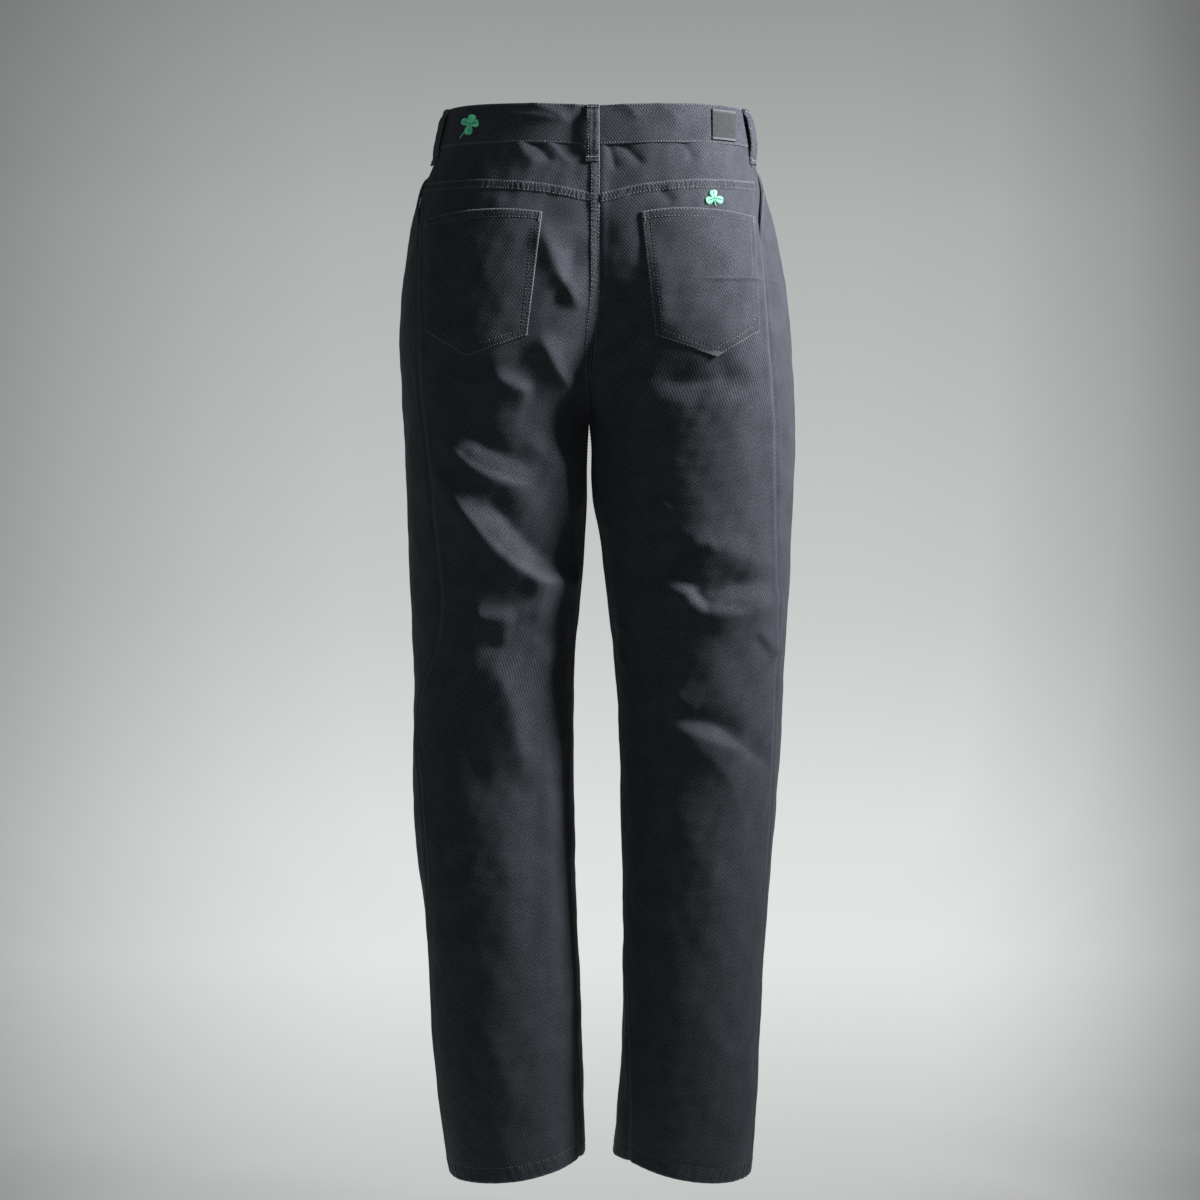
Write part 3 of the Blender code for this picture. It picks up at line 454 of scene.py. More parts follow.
def line_distance(across, up, line):
    """Distance from each point to a line, whether it lies above, and the share along it."""
    best = np.full(len(across), 1e9)
    above = np.zeros(len(across), dtype=bool)
    share = np.zeros(len(across))
    lengths = np.linalg.norm(np.diff(line, axis=0), axis=1)
    reached = np.concatenate([[0.0], np.cumsum(lengths)])
    for index, length in enumerate(lengths):
        start = line[index]
        way = (line[index + 1] - start) / length
        above_sign = 1.0 if way[0] < 0.0 else -1.0
        from_start = (across - start[0]) * way[0] + (up - start[1]) * way[1]
        along = np.clip(from_start, 0.0, length)
        gap_x = across - start[0] - along * way[0]
        gap_z = up - start[1] - along * way[1]
        distance = np.hypot(gap_x, gap_z)
        nearer = distance < best
        best = np.where(nearer, distance, best)
        above = np.where(nearer, above_sign * (gap_x * way[1] - gap_z * way[0]) > 0.0, above)
        share = np.where(nearer, (reached[index] + along) / reached[-1], share)
    return best, above, share


def cloth(side, part, share, z):
    """Folded surface points and their outward normals, over arrays of one shape."""
    side, part, share, z = np.broadcast_arrays(side, part, np.asarray(share, float),
                                               np.asarray(z, float))
    shape = z.shape
    side, part, share, z = side.ravel(), part.ravel(), share.ravel(), z.ravel()
    points = bare_surface(side, part, share, z)
    ahead = bare_surface(side, part, np.minimum(share + SLOPE_ALONG, 1.0), z)
    behind = bare_surface(side, part, np.maximum(share - SLOPE_ALONG, 0.0), z)
    higher = bare_surface(side, part, share, z + SLOPE_UP)
    lower = bare_surface(side, part, share, z - SLOPE_UP)
    normals = side[:, None] * np.cross(ahead - behind, higher - lower)
    normals /= np.linalg.norm(normals, axis=1)[:, None]
    points = points + normals * creases(points, normals, FOLDS)[:, None]
    return points.reshape(shape + (3,)), normals.reshape(shape + (3,))


def leg_level(row_level, around):
    """A row of a leg panel: level in the middle, meeting the yoke seam and the hem at its ends."""
    top = level_line(YOKE_SEAM, around) - TOP_LEVEL
    bottom = level_line(HEM, around) - HEM_LEVEL
    near_top = 1.0 - ease((TOP_LEVEL - row_level) / TOP_SETTLE)
    near_hem = 1.0 - ease((row_level - HEM_LEVEL) / HEM_SETTLE)
    return row_level + top * near_top + bottom * near_hem


def mouth_level(around):
    """Top edge of a front panel: the waist seam, then the curve of the pocket mouth."""
    seam = level_line(WAIST_TOP, around) - BAND_HEIGHT
    sweep = np.clip((around - MOUTH_START) / (1.0 - MOUTH_START), 0.0, 1.0)
    return seam + (MOUTH_BOTTOM - seam) * (1.0 - np.sqrt(1.0 - sweep ** 2))


def shares(columns, crowd):
    """Shares across a panel, crowded towards the side seam, where the body turns most."""
    even = np.linspace(0.0, 1.0, columns + 1)
    return even + crowd * np.sin(math.pi * even)


def share_at_x(side, x, z):
    """The share across a back panel at which it lies a distance to one side of the origin."""
    shape = z.shape
    flat_z = z.ravel()
    flat_x = np.broadcast_to(x, shape).ravel()
    sides = np.full(flat_z.shape, side)
    parts = np.full(flat_z.shape, BACK)
    low = np.zeros(flat_z.shape)
    high = np.ones(flat_z.shape)
    for _ in range(TRIM_STEPS):
        share = 0.5 * (low + high)
        beyond = side * bare_surface(sides, parts, share, flat_z)[:, 0] > flat_x
        low = np.where(beyond, share, low)
        high = np.where(beyond, high, share)
    return low.reshape(shape)


def around_waist(place):
    """Side, panel and share for places round the waist from 0, the centre front, to 4."""
    turn = np.mod(place, 4.0)
    side = np.where(turn < 2.0, RIGHT, LEFT)
    half = np.where(turn < 2.0, turn, 4.0 - turn)
    part = np.where(half < 1.0, FRONT, BACK)
    share = np.where(half < 1.0, half, half - 1.0)
    return side, part, share, half


def waist_points(place, z, stand_off):
    """Points at a height and a distance off the panels, round the waist."""
    side, part, share, _ = around_waist(place)
    side, part, share, z = np.broadcast_arrays(side, part, share, z)
    points, normals = cloth(side, part, share, z)
    return points + normals * np.asarray(stand_off)[..., None]


UV_PER_MM = 0.01
SHARP_ANGLE = 52.0
BACKS = {LEFT: "left", RIGHT: "right"}

# Smaller creases than the CAD's folds, in the same columns.
CREASES = (
    ("yoke_ridge", "back", 1.8, 7, 9, ((82, -14), (70, -30), (56, -44))),
    ("yoke_ridge_2", "back", 1.5, 5, 7, ((52, -12), (38, -30), (22, -46))),
    ("yoke_groove", "back", -1.6, 5, 5, ((68, -12), (54, -28), (42, -42))),
    ("yoke_right_groove", "back", -2.0, 5, 6, ((-17, -15), (-30, -28), (-46, -45))),
    ("yoke_right_groove_2", "back", -1.4, 4, 5, ((-80, -12), (-86, -24), (-94, -38))),
    ("yoke_right_groove_3", "back", -1.5, 4, 4, ((-7, -14), (-13, -32), (-17, -50))),
    ("seat_right_dimple", "back", -1.6, 5, 6, ((-56, -62), (-66, -72), (-74, -80))),
    ("seat_ridge_2", "back", 2.2, 6, 8, ((42, -142), (28, -160), (16, -184))),
    ("inner_lit_edge", "back", 1.6, 9, 12, ((74, -300), (52, -322), (36, -352))),
    ("knee_basin", "back", -2.6, 16, 18, ((112, -436), (84, -448), (58, -446))),
    ("knee_basin_rim", "back", 2.4, 8, 10,
     ((132, -462), (112, -477), (78, -476), (50, -463), (26, -450))),
    ("calf_streak", "back", 1.6, 9, 12, ((66, -494), (56, -510), (40, -530))),
    ("shin_soft_left", "back", 2.0, 16, 20, ((104, -640), (88, -730), (84, -820))),
    ("shin_soft_left_2", "back", -1.6, 14, 16, ((62, -650), (58, -740), (66, -850))),
    ("low_left_ridge", "back", 1.4, 16, 20, ((112, -850), (96, -910), (84, -970))),
    ("right_small_light", "back", 1.8, 4, 7, ((-40, -366), (-56, -368), (-74, -368))),
    ("right_mid_line", "back", 1.4, 5, 8, ((-84, -404), (-100, -406), (-116, -402))),
    ("right_dimple", "back", -4.2, 6, 6, ((-92, -452), (-104, -463), (-112, -470))),
    ("right_side_groove", "back", -2.4, 6, 8, ((-152, -494), (-162, -506), (-172, -520))),
    ("right_knee_small", "back", 2.0, 8, 10, ((-74, -545), (-84, -560), (-100, -570))),
    ("right_shin_soft", "back", 1.8, 18, 20, ((-120, -660), (-112, -740), (-116, -830))),
    ("right_shin_soft_2", "back", -1.5, 16, 16, ((-78, -660), (-76, -740), (-86, -820))),
    ("right_low_ridge", "back", 1.4, 16, 18, ((-128, -870), (-112, -930), (-104, -980))),
    ("inseam_fan_1", "back", 1.3, 3, 4, ((-12, -476), (-20, -466), (-32, -456))),
    ("inseam_fan_2", "back", 1.3, 3, 4, ((-14, -500), (-22, -518), (-34, -538))),
    ("inseam_fan_3", "back", 1.2, 3, 4, ((-15, -486), (-22, -488), (-34, -494))),
    ("knee_sharp", "back", -3.4, 9, 4.5,
     ((156, -322), (146, -342), (126, -370), (95, -406), (56, -431), (12, -436))),
    ("knee_left_reach", "back", 4.0, 9, 16,
     ((160, -322), (147, -346), (126, -374), (104, -400))),
    ("knee_right_reach", "back", 4.5, 8, 15, ((70, -438), (46, -443), (22, -443), (0, -440))),
    ("thigh_sharp", "back", -2.6, 7, 4,
     ((156, -290), (146, -304), (122, -325), (96, -337), (54, -349))),
    ("thigh_left_reach", "back", 2.6, 7, 10, ((158, -294), (146, -308), (128, -324))),
    ("right_knee_sharp", "back", -3.0, 8, 4.5,
     ((-46, -438), (-66, -442), (-89, -448), (-106, -462), (-147, -467), (-184, -452))),
    ("seat_right_round", "back", 2.5, 16, 16, ((-52, -112), (-60, -160), (-62, -216))),
    ("under_right_seat", "back", -6.5, 20, 14,
     ((-44, -246), (-84, -252), (-122, -247), (-148, -238))),
    ("inner_left_round", "back", 4.0, 13, 11, ((34, -300), (30, -350), (26, -400))),
    ("left_shin_inner", "back", 3.5, 15, 13, ((58, -560), (50, -640), (48, -730), (52, -830))),
    ("right_calf_dark", "back", -3.5, 12, 7,
     ((-70, -576), (-90, -580), (-119, -586), (-158, -616), (-176, -634))),
    ("right_calf_bright", "back", 3.0, 12, 18,
     ((-74, -592), (-92, -604), (-116, -622), (-134, -652), (-140, -690))),
    ("left_inseam_soft", "back", 1.6, 5, 5, ((24, -800), (30, -880), (34, -960))),
    ("right_calf_sharp", "back", -2.4, 8, 5,
     ((-74, -578), (-102, -586), (-128, -596), (-150, -605))),
    ("front_left_whisker", "front", 1.6, 6, 7, ((30, -214), (66, -194), (104, -176))),
    ("front_right_whisker", "front", 1.6, 6, 7, ((-24, -216), (-60, -198), (-100, -182))),
    ("front_left_thigh", "front", 2.0, 14, 16, ((60, -320), (90, -360), (116, -420))),
    ("front_right_thigh", "front", 2.0, 14, 16, ((-50, -330), (-84, -372), (-112, -440))),
    ("front_left_shin", "front", 1.8, 14, 18, ((64, -640), (84, -720), (92, -810))),
    ("front_right_shin", "front", 1.8, 14, 18, ((-60, -650), (-82, -730), (-96, -820))),
)

# The hollow along the centre back seam.
CLEFT = (("seat_cleft", "back", -6.0, 20, 20, ((2, -64), (1, -120), (-2, -190), (-4, -262))),)

# The pressed line across the hips and pockets.
TUCKS = (
    ("tuck_left", "back", 1.3, 1.1, 1.5, ((193, -152), (175, -151.5), (150, -151), (118, -150.5))),
    ("tuck_right", "back", 1.3, 1.1, 1.5,
     ((-88, -152), (-120, -151.5), (-154, -150.5), (-189, -152))),
)

# How the cloth lies at seams: depth and reach of the groove, height and place of the ridge beside.
SEAM_GROOVE = 1.0
SEAM_GROOVE_REACH = 1.5
SEAM_RIDGE = 0.45
SEAM_RIDGE_AT = 5.5
SEAM_RIDGE_REACH = 2.6
# Folds fade within these distances of the inner seams and the side seam.
QUIET_INNER = 14.0
QUIET_SIDE = 10.0

# The hem: its turned height, the groove of its stitching, the slanting ropes below it and how its
# edge rounds off.
HEM_TURN = 15.0
HEM_GROOVE = 0.35
HEM_GROOVE_REACH = 1.6
ROPE = 0.28
ROPE_PITCH = 9.0
ROPE_SLANT = 18.0
HEM_ROUND = 1.6
HEM_ROUND_DEEP = 0.55

FINE_LEVELS = np.concatenate([
    np.arange(-60.0, -70.0, -1.3), np.arange(-70.0, -138.0, -2.8), np.arange(-138.0, -156.0, -1.1),
    np.arange(-156.0, -1004.0, -2.9), np.arange(-1004.0, -1030.1, -1.3)])
WIDTH_POINTS = 41
FINE_BACK = 100
FINE_FRONT = 84
FRONT_LEVELS = [level for place, level in enumerate(FINE_LEVELS)
                if place % 2 == 0 or level > -330.0 or level < -990.0]


def ripple(points, length, seed, waves=12):
    """A smooth random field of about one wavelength, with unit spread, over points in mm."""
    rng = np.random.default_rng(seed)
    ways = rng.normal(size=(waves, 3))
    ways /= np.linalg.norm(ways, axis=1)[:, None]
    rates = 2.0 * math.pi / (length * rng.uniform(0.7, 1.5, waves))
    turns = rng.uniform(0.0, 2.0 * math.pi, waves)
    total = np.zeros(points.shape[:-1])
    for way, rate, turn in zip(ways, rates, turns):
        total += np.sin((points @ way) * rate + turn)
    return total / math.sqrt(waves / 2.0)


def creases(points, normals, rows):
    """How far small folds lift each point; only points near a fold are measured."""
    shape = points.shape[:-1]
    flat = points.reshape(-1, 3)
    facing_y = normals.reshape(-1, 3)[:, 1]
    total = np.zeros(len(flat))
    for row in rows:
        fold = dict(zip(FOLD_COLUMNS, row))
        line = smooth_line(fold["line"])
        margin = FOLD_MARGIN * max(fold["wide_above"], fold["wide_below"])
        low = line.min(axis=0) - margin
        high = line.max(axis=0) + margin
        near = np.flatnonzero((flat[:, 0] > low[0]) & (flat[:, 0] < high[0])
                              & (flat[:, 2] > low[1]) & (flat[:, 2] < high[1]))
        if len(near) == 0:
            continue
        distance, above, share = line_distance(flat[near, 0], flat[near, 2], line)
        width = np.where(above, fold["wide_above"], fold["wide_below"])
        ends = ease(np.minimum(share, 1.0 - share) / FOLD_END)
        turned = facing_y[near] if fold["view"] == "back" else -facing_y[near]
        seen = ease((turned - TURNED_AWAY) / (TURNED_TOWARDS - TURNED_AWAY))
        total[near] += fold["height"] * np.exp(-(distance / width) ** FOLD_POWER) * ends * seen
    return total.reshape(shape)


def widths_at(side, part):
    """Levels and the arc length of a panel across them, for measuring distances from its seams."""
    z = np.linspace(-1035.0, 20.0, 90)
    share = np.linspace(0.0, 1.0, WIDTH_POINTS)
    count = z.size * WIDTH_POINTS
    grid = bare_surface(np.full(count, side), np.full(count, part), np.tile(share, z.size),
                        np.repeat(z, WIDTH_POINTS)).reshape(z.size, WIDTH_POINTS, 3)
    return z, np.linalg.norm(np.diff(grid, axis=1), axis=2).sum(axis=1)


WIDTHS = {(side, part): widths_at(side, part) for side in (LEFT, RIGHT) for part in (FRONT, BACK)}


def panel_width(side, part, z):
    return np.interp(z, *WIDTHS[(side, part)])


def soft_relief(points):
    """The cloth's own unevenness."""
    return 0.30 * ripple(points, 46.0, 11) + 0.13 * ripple(points, 15.0, 12)


def seam_relief(distance, deep=1.0):
    """The groove of a seam and the ridge that its turned edge raises beside it."""
    return (SEAM_RIDGE * bell(distance - SEAM_RIDGE_AT, SEAM_RIDGE_REACH)
            - SEAM_GROOVE * deep * bell(distance, SEAM_GROOVE_REACH))


def panel(side, part, share, z):
    """Points and normals of a panel with its small folds and its seams."""
    points, normals = cloth(side, part, share, z)
    share, z = np.broadcast_arrays(share, z)
    width = panel_width(side, part, z)
    from_side = width * (share if part == BACK else 1.0 - share)
    from_inner = width - from_side
    lift = soft_relief(points) + creases(points, normals, CREASES + TUCKS)
    quiet = ease((from_inner - 1.0) / QUIET_INNER) * ease((from_side - 1.0) / QUIET_SIDE)
    lift = lift * quiet
    hollow = creases(points, normals, CLEFT)[..., None] * normals * np.array([0.0, 1.0, 0.0])
    lift = lift + seam_relief(from_side)
    middle = ease((z - CROTCH_Z) / 6.0)
    inner_way = normals * np.stack([1.0 - middle, np.ones_like(middle), np.ones_like(middle)], -1)
    inner_deep = np.where(z < CROTCH_Z + 20.0, 0.9, 0.5)
    hollow = hollow + seam_relief(from_inner, inner_deep)[..., None] * inner_way
    above_hem = z - level_line(HEM, share + part)
    roping = np.sin(2.0 * math.pi * (from_side / ROPE_PITCH + above_hem / ROPE_SLANT)
                    + 0.8 * ripple(points, 30.0, 21))
    lift = lift - HEM_GROOVE * bell(above_hem - HEM_TURN, HEM_GROOVE_REACH)
    lift = lift + ROPE * roping * ease((HEM_TURN + 4.0 - above_hem) / 6.0)
    lift = lift - HEM_ROUND_DEEP * np.clip(1.0 - above_hem / HEM_ROUND, 0.0, 1.0) ** 2
    return points + normals * lift[..., None] + hollow, normals


def mesh_piece(name, verts, faces, made, uv=None, values=None):
    """A mesh object from points in mm and arrays of faces, with a UV layer and named values."""
    mesh = bpy.data.meshes.new(name)
    mesh.vertices.add(len(verts))
    mesh.vertices.foreach_set("co", (np.asarray(verts, np.float32) * METRES).ravel())
    groups = faces if isinstance(faces, list) else [faces]
    sizes = np.concatenate([np.full(len(group), group.shape[1]) for group in groups])
    corners = np.concatenate([group.ravel() for group in groups])
    mesh.loops.add(len(corners))
    mesh.loops.foreach_set("vertex_index", corners.astype(np.int32))
    mesh.polygons.add(len(sizes))
    starts = np.concatenate([[0], np.cumsum(sizes)[:-1]])
    mesh.polygons.foreach_set("loop_start", starts.astype(np.int32))
    mesh.update(calc_edges=True)
    if uv is not None:
        layer = mesh.uv_layers.new(name="cloth")
        at_corners = np.asarray(uv)[corners] * UV_PER_MM
        layer.data.foreach_set("uv", at_corners.astype(np.float32).ravel())
    for label, data in (values or {}).items():
        attribute = mesh.attributes.new(label, "FLOAT", "POINT")
        attribute.data.foreach_set("value", np.asarray(data, np.float32).ravel())
    mesh.validate()
    mesh.shade_smooth()
    mesh.set_sharp_from_angle(angle=math.radians(SHARP_ANGLE))
    mesh.materials.append(made)
    piece = bpy.data.objects.new(name, mesh)
    bpy.context.scene.collection.objects.link(piece)
    return piece


def shell_faces(rows, columns):
    """Quads of a closed wall: outer grid, inner grid after it, and the rim between them."""
    index = np.arange(rows * columns).reshape(rows, columns)
    quads = np.stack([index[:-1, :-1], index[1:, :-1], index[1:, 1:], index[:-1, 1:]], -1)
    quads = quads.reshape(-1, 4)
    ring = np.concatenate([index[0, :-1], index[:-1, -1], index[-1, :0:-1], index[:0:-1, 0]])
    after = np.roll(ring, -1)
    count = rows * columns
    rim = np.stack([ring, after, after + count, ring + count], -1)
    return np.concatenate([quads, quads[:, ::-1] + count, rim])


def cloth_piece(name, outer, inner, made, wear, flip=1.0, uv=None):
    """A wall between two grids, its UV in mm of cloth measured from its middle column."""
    rows, columns = outer.shape[:2]
    if uv is None:
        steps = np.linalg.norm(np.diff(outer, axis=1), axis=2)
        along = np.concatenate([np.zeros((rows, 1)), np.cumsum(steps, axis=1)], axis=1)
        along = along - along[:, columns // 2][:, None]
        falls = np.linalg.norm(np.diff(outer[:, columns // 2], axis=0), axis=1)
        down = np.concatenate([[0.0], np.cumsum(falls)])
        uv = np.stack([along * flip, np.broadcast_to(-down[:, None], along.shape)], -1)
    faces = shell_faces(rows, columns)
    middle = outer[rows // 2, columns // 2]
    first = outer[rows // 2 + 1, columns // 2] - middle
    second = outer[rows // 2, columns // 2 + 1] - middle
    if np.dot(np.cross(first, second), middle - inner[rows // 2, columns // 2]) < 0.0:
        faces = faces[:, ::-1]
    verts = np.concatenate([outer.reshape(-1, 3), inner.reshape(-1, 3)])
    both = np.concatenate([uv.reshape(-1, 2)] * 2)
    worn = np.concatenate([np.broadcast_to(wear, (rows, columns)).ravel()] * 2)
    inside = np.concatenate([np.zeros(rows * columns), np.ones(rows * columns)])
    return mesh_piece(name, verts, faces, made, both, {"wear": worn, "inside": inside})


def dress(piece):
    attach(piece, "root")
    return piece


def stand_for(piece, solid):
    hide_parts(solid)
    return dress(piece)


# Materials

# Twill: the distance between its diagonal ridges, their turn, and a wave texture's own length.
TWILL_PITCH = 2.4
TWILL_TURN = -35.0
WAVE_LENGTH = 0.314159
WORN_TONE = (0.115, 0.120, 0.138)
INSIDE_TONE = (0.075, 0.076, 0.080)


def feed(tree, sockets, inputs):
    """Links other nodes' outputs to sockets, or sets plain values and colours on them."""
    for key, value in inputs.items():
        if isinstance(value, bpy.types.NodeSocket):
            tree.links.new(value, sockets[key])
        elif sockets[key].type == "RGBA":
            sockets[key].default_value = (*value, 1.0)
        else:
            sockets[key].default_value = value


def node(tree, kind, output, inputs, **settings):
    """The named output of a new shader node with its settings and inputs."""
    made = tree.nodes.new("ShaderNode" + kind)
    for key, value in settings.items():
        setattr(made, key, value)
    feed(tree, made.inputs, inputs)
    return made.outputs[output]


def painted(tree, name):
    """A value that the mesh carries at its points."""
    return node(tree, "Attribute", "Fac", {}, attribute_name=name)


def product(tree, first, second):
    return node(tree, "Math", "Value", {0: first, 1: second}, operation="MULTIPLY")


def sum_of_product(tree, first, second, third, **settings):
    return node(tree, "Math", "Value", {0: first, 1: second, 2: third}, operation="MULTIPLY_ADD",
                **settings)


def mixed(tree, factor, first, second):
    return node(tree, "Mix", "Result", {"Factor": factor, "A": first, "B": second},
                data_type="RGBA")


def noise(tree, where, scale, detail, **settings):
    return node(tree, "TexNoise", "Fac",
                {"Vector": where, "Scale": scale, "Detail": detail, **settings})


def bumped(tree, height, strength, distance):
    return node(tree, "Bump", "Normal",
                {"Height": height, "Strength": strength, "Distance": distance})


def denim(tree, dark, light, bump):
    """Twill: diagonal wale, uneven yarns across it, grain, and pale worn edges."""
    uv = node(tree, "UVMap", "UV", {}, uv_map="cloth")
    turned = node(tree, "Mapping", "Vector",
                  {"Vector": uv, "Rotation": (0.0, 0.0, math.radians(TWILL_TURN))})
    wale = node(tree, "TexWave", "Fac",
                {"Vector": turned, "Scale": WAVE_LENGTH / (TWILL_PITCH * UV_PER_MM),
                 "Distortion": 1.1, "Detail": 2.0, "Detail Scale": 1.6},
                wave_type="BANDS", bands_direction="X", wave_profile="SIN")
    stretched = node(tree, "Mapping", "Vector", {
        "Vector": uv, "Scale": (1.0 / (1.1 * UV_PER_MM), 1.0 / (2.8 * UV_PER_MM), 1.0)})
    yarn = noise(tree, stretched, 1.0, 3.0, Roughness=0.7)
    cloud = noise(tree, uv, 1.0 / (26.0 * UV_PER_MM), 3.0)
    grain = noise(tree, uv, 1.0 / (1.5 * UV_PER_MM), 1.5)
    softer = node(tree, "MapRange", "Result", {"Value": wale, "To Min": 0.28, "To Max": 0.92})
    weave = product(tree, softer, yarn)
    spread_out = node(tree, "MapRange", "Result",
                      {"Value": weave, "From Min": 0.05, "From Max": 0.60, "To Max": 0.85})
    speckled = sum_of_product(tree, grain, 1.05, spread_out)
    clouded = sum_of_product(tree, cloud, 0.5, speckled)
    pale = node(tree, "Math", "Value", {0: clouded, 1: 0.80}, operation="SUBTRACT", use_clamp=True)
    woven = mixed(tree, pale, dark, light)
    worn = mixed(tree, product(tree, painted(tree, "wear"), yarn), woven, WORN_TONE)
    faced = mixed(tree, product(tree, painted(tree, "inside"), 0.55), worn, INSIDE_TONE)
    rough = node(tree, "MapRange", "Result", {"Value": pale, "To Min": 0.95, "To Max": 0.68})
    return {"Base Color": faced, "Roughness": rough, "Normal": bumped(tree, weave, bump, 0.0006),
            "Specular IOR Level": 0.22, "Sheen Weight": 0.10, "Sheen Roughness": 0.45,
            "Sheen Tint": (0.75, 0.78, 0.90)}


def thread(tree, dark, light, scale, sheen):
    """Twisted thread: a fine light and dark twist along it."""
    where = node(tree, "TexCoord", "Object", {})
    twist = node(tree, "TexWave", "Fac", {"Vector": where, "Scale": scale, "Distortion": 2.0},
                 wave_type="BANDS", bands_direction="DIAGONAL")
    # The shade value on the points adds to the tone; on the clovers it holds painted shade and
    # painted highlight.
    tone = sum_of_product(tree, twist, 0.35, painted(tree, "shade"), use_clamp=True)
    return {"Base Color": mixed(tree, tone, dark, light),
            "Normal": bumped(tree, twist, 0.4, 0.0001), "Roughness": 0.45, "Sheen Weight": sheen}


def worn_leather(tree):
    """Matt dark leather with a fine grain, paler on its raised bars."""
    uv = node(tree, "UVMap", "UV", {}, uv_map="cloth")
    pores = node(tree, "TexVoronoi", "Distance", {"Vector": uv, "Scale": 1.0 / (0.9 * UV_PER_MM)})
    toned = mixed(tree, noise(tree, uv, 1.0 / (4.0 * UV_PER_MM), 4.0), (0.017, 0.0175, 0.019),
                  (0.036, 0.037, 0.040))
    worn = mixed(tree, product(tree, painted(tree, "wear"), 0.6), toned, (0.110, 0.112, 0.118))
    return {"Base Color": worn, "Normal": bumped(tree, pores, 0.35, 0.0002), "Roughness": 0.86,
            "Specular IOR Level": 0.12}


def tarnished_metal(tree):
    """Dark tarnished metal."""
    where = node(tree, "TexCoord", "Object", {})
    toned = mixed(tree, noise(tree, where, 260.0, 4.0), (0.10, 0.10, 0.105), (0.26, 0.26, 0.27))
    return {"Base Color": toned, "Metallic": 1.0, "Roughness": 0.38}


def material(name, look, *values):
    """A material whose shader takes the inputs that a look gives for its tree."""
    made = bpy.data.materials.new(name)
    made.use_nodes = True
    tree = made.node_tree
    feed(tree, tree.nodes["Principled BSDF"].inputs, look(tree, *values))
    return made


black_denim = material("black_denim", denim, (0.0068, 0.0078, 0.0100), (0.047, 0.050, 0.064), 0.35)
band_denim = material("band_denim", denim, (0.0072, 0.0082, 0.0104), (0.052, 0.055, 0.070), 0.4)
# Two copies of one green thread, which is painted light: the four-leaf clover's lies on the shaded
# side and is made brighter; the three-leaf clover's, on the lit side, is made darker.
green_thread = material("green_thread", thread, (0.03, 0.46, 0.20), (0.20, 0.94, 0.54), 1400.0, 0.3)
lit_side_dimmed_green_thread = material("lit_side_dimmed_green_thread", thread, (0.025, 0.19, 0.095),
                             (0.16, 0.52, 0.33), 1400.0, 0.3)
seam_thread = material("seam_thread", thread, (0.010, 0.011, 0.013), (0.050, 0.052, 0.058),
                       900.0, 0.2)
leather = material("grey_leather", worn_leather)
dark_metal = material("dark_metal", tarnished_metal)

# Leg panels

# How far the panels run up under the waistband, and a distance beyond any seam.
UNDER_BAND = 3.0
FAR = 99.0

# The pieces by name, and each sheet's outer grid with how it is held and what it rests on.
pieces = {}
outers = {}


def finish_panel(name, side, part, share, z, wear):
    outer, normals = panel(side, part, share[None, :], z)
    pieces[name] = cloth_piece(name, outer, outer - normals * CLOTH, black_denim, wear, flip=side)
    stand_for(pieces[name], name)
    outers[name] = (outer, "hung", ("waistband",))


for side in (LEFT, RIGHT):
    share = shares(FINE_BACK, BACK_CROWD)
    z = np.array([leg_level(level, 1.0 + share) for level in FINE_LEVELS])
    width = panel_width(side, BACK, z)
    above_hem = z - level_line(HEM, 1.0 + share)
    wear = np.maximum.reduce([0.45 * bell(share * width, 1.2), 0.5 * bell((1 - share) * width, 1.2),
                              0.9 * bell(above_hem, 1.3)])
    finish_panel("back_" + BACKS[side], side, BACK, share, z, wear)

    top = level_line(WAIST_TOP, 1.0 + share) - BAND_HEIGHT + UNDER_BAND
    bottom = level_line(YOKE_SEAM, 1.0 + share)
    z = top + (bottom - top) * np.linspace(0.0, 1.0, 34)[:, None]
    finish_panel("yoke_" + BACKS[side], side, BACK, share, z,
                 0.3 * bell(share * panel_width(side, BACK, z), 1.4))

    share = shares(FINE_FRONT, FRONT_CROWD)
    top = mouth_level(share) + UNDER_BAND * (share < MOUTH_START)
    lower = np.array([leg_level(level, share) for level in FRONT_LEVELS
                      if level <= MOUTH_SETTLE_Z - 2.0])
    z = np.concatenate([top + (lower[0] - top) * np.linspace(0.0, 1.0, 40)[:-1, None], lower])
    width = panel_width(side, FRONT, z)
    above_hem = z - level_line(HEM, share)
    below_mouth = (mouth_level(share) - z) + FAR * (share < MOUTH_START)
    wear = np.maximum.reduce([0.45 * bell((1 - share) * width, 1.2), 0.5 * bell(share * width, 1.2),
                              0.9 * bell(above_hem, 1.3), 0.9 * bell(below_mouth, 1.6)])
    finish_panel("front_" + BACKS[side], side, FRONT, share, z, wear)

# Stitches

STITCH = 2.5
STITCH_PITCH = 3.1
STITCH_WIDE = 0.42
STITCH_SIDES = 5
BAR_PITCH = 0.55
STITCH_HIGH = 0.24
# Place along a stitch, thickness and rise of each of its rings.
STITCH_RINGS = np.array(((-0.5, 0.35, -0.22), (-0.34, 0.85, 0.10), (0.0, 1.0, STITCH_HIGH),
                         (0.34, 0.85, 0.10), (0.5, 0.35, -0.22)))
STITCH_SHADE = 0.3


def tube_faces(rings, sides):
    index = np.arange(rings * sides).reshape(rings, sides)
    after = np.roll(index, -1, axis=1)
    quads = np.stack([index[:-1], index[1:], after[1:], after[:-1]], -1).reshape(-1, 4)
    return quads, index[0], index[-1][::-1]


def at_lengths(at, reached, data):
    return np.stack([np.interp(at, reached, data[:, k]) for k in range(3)], -1)


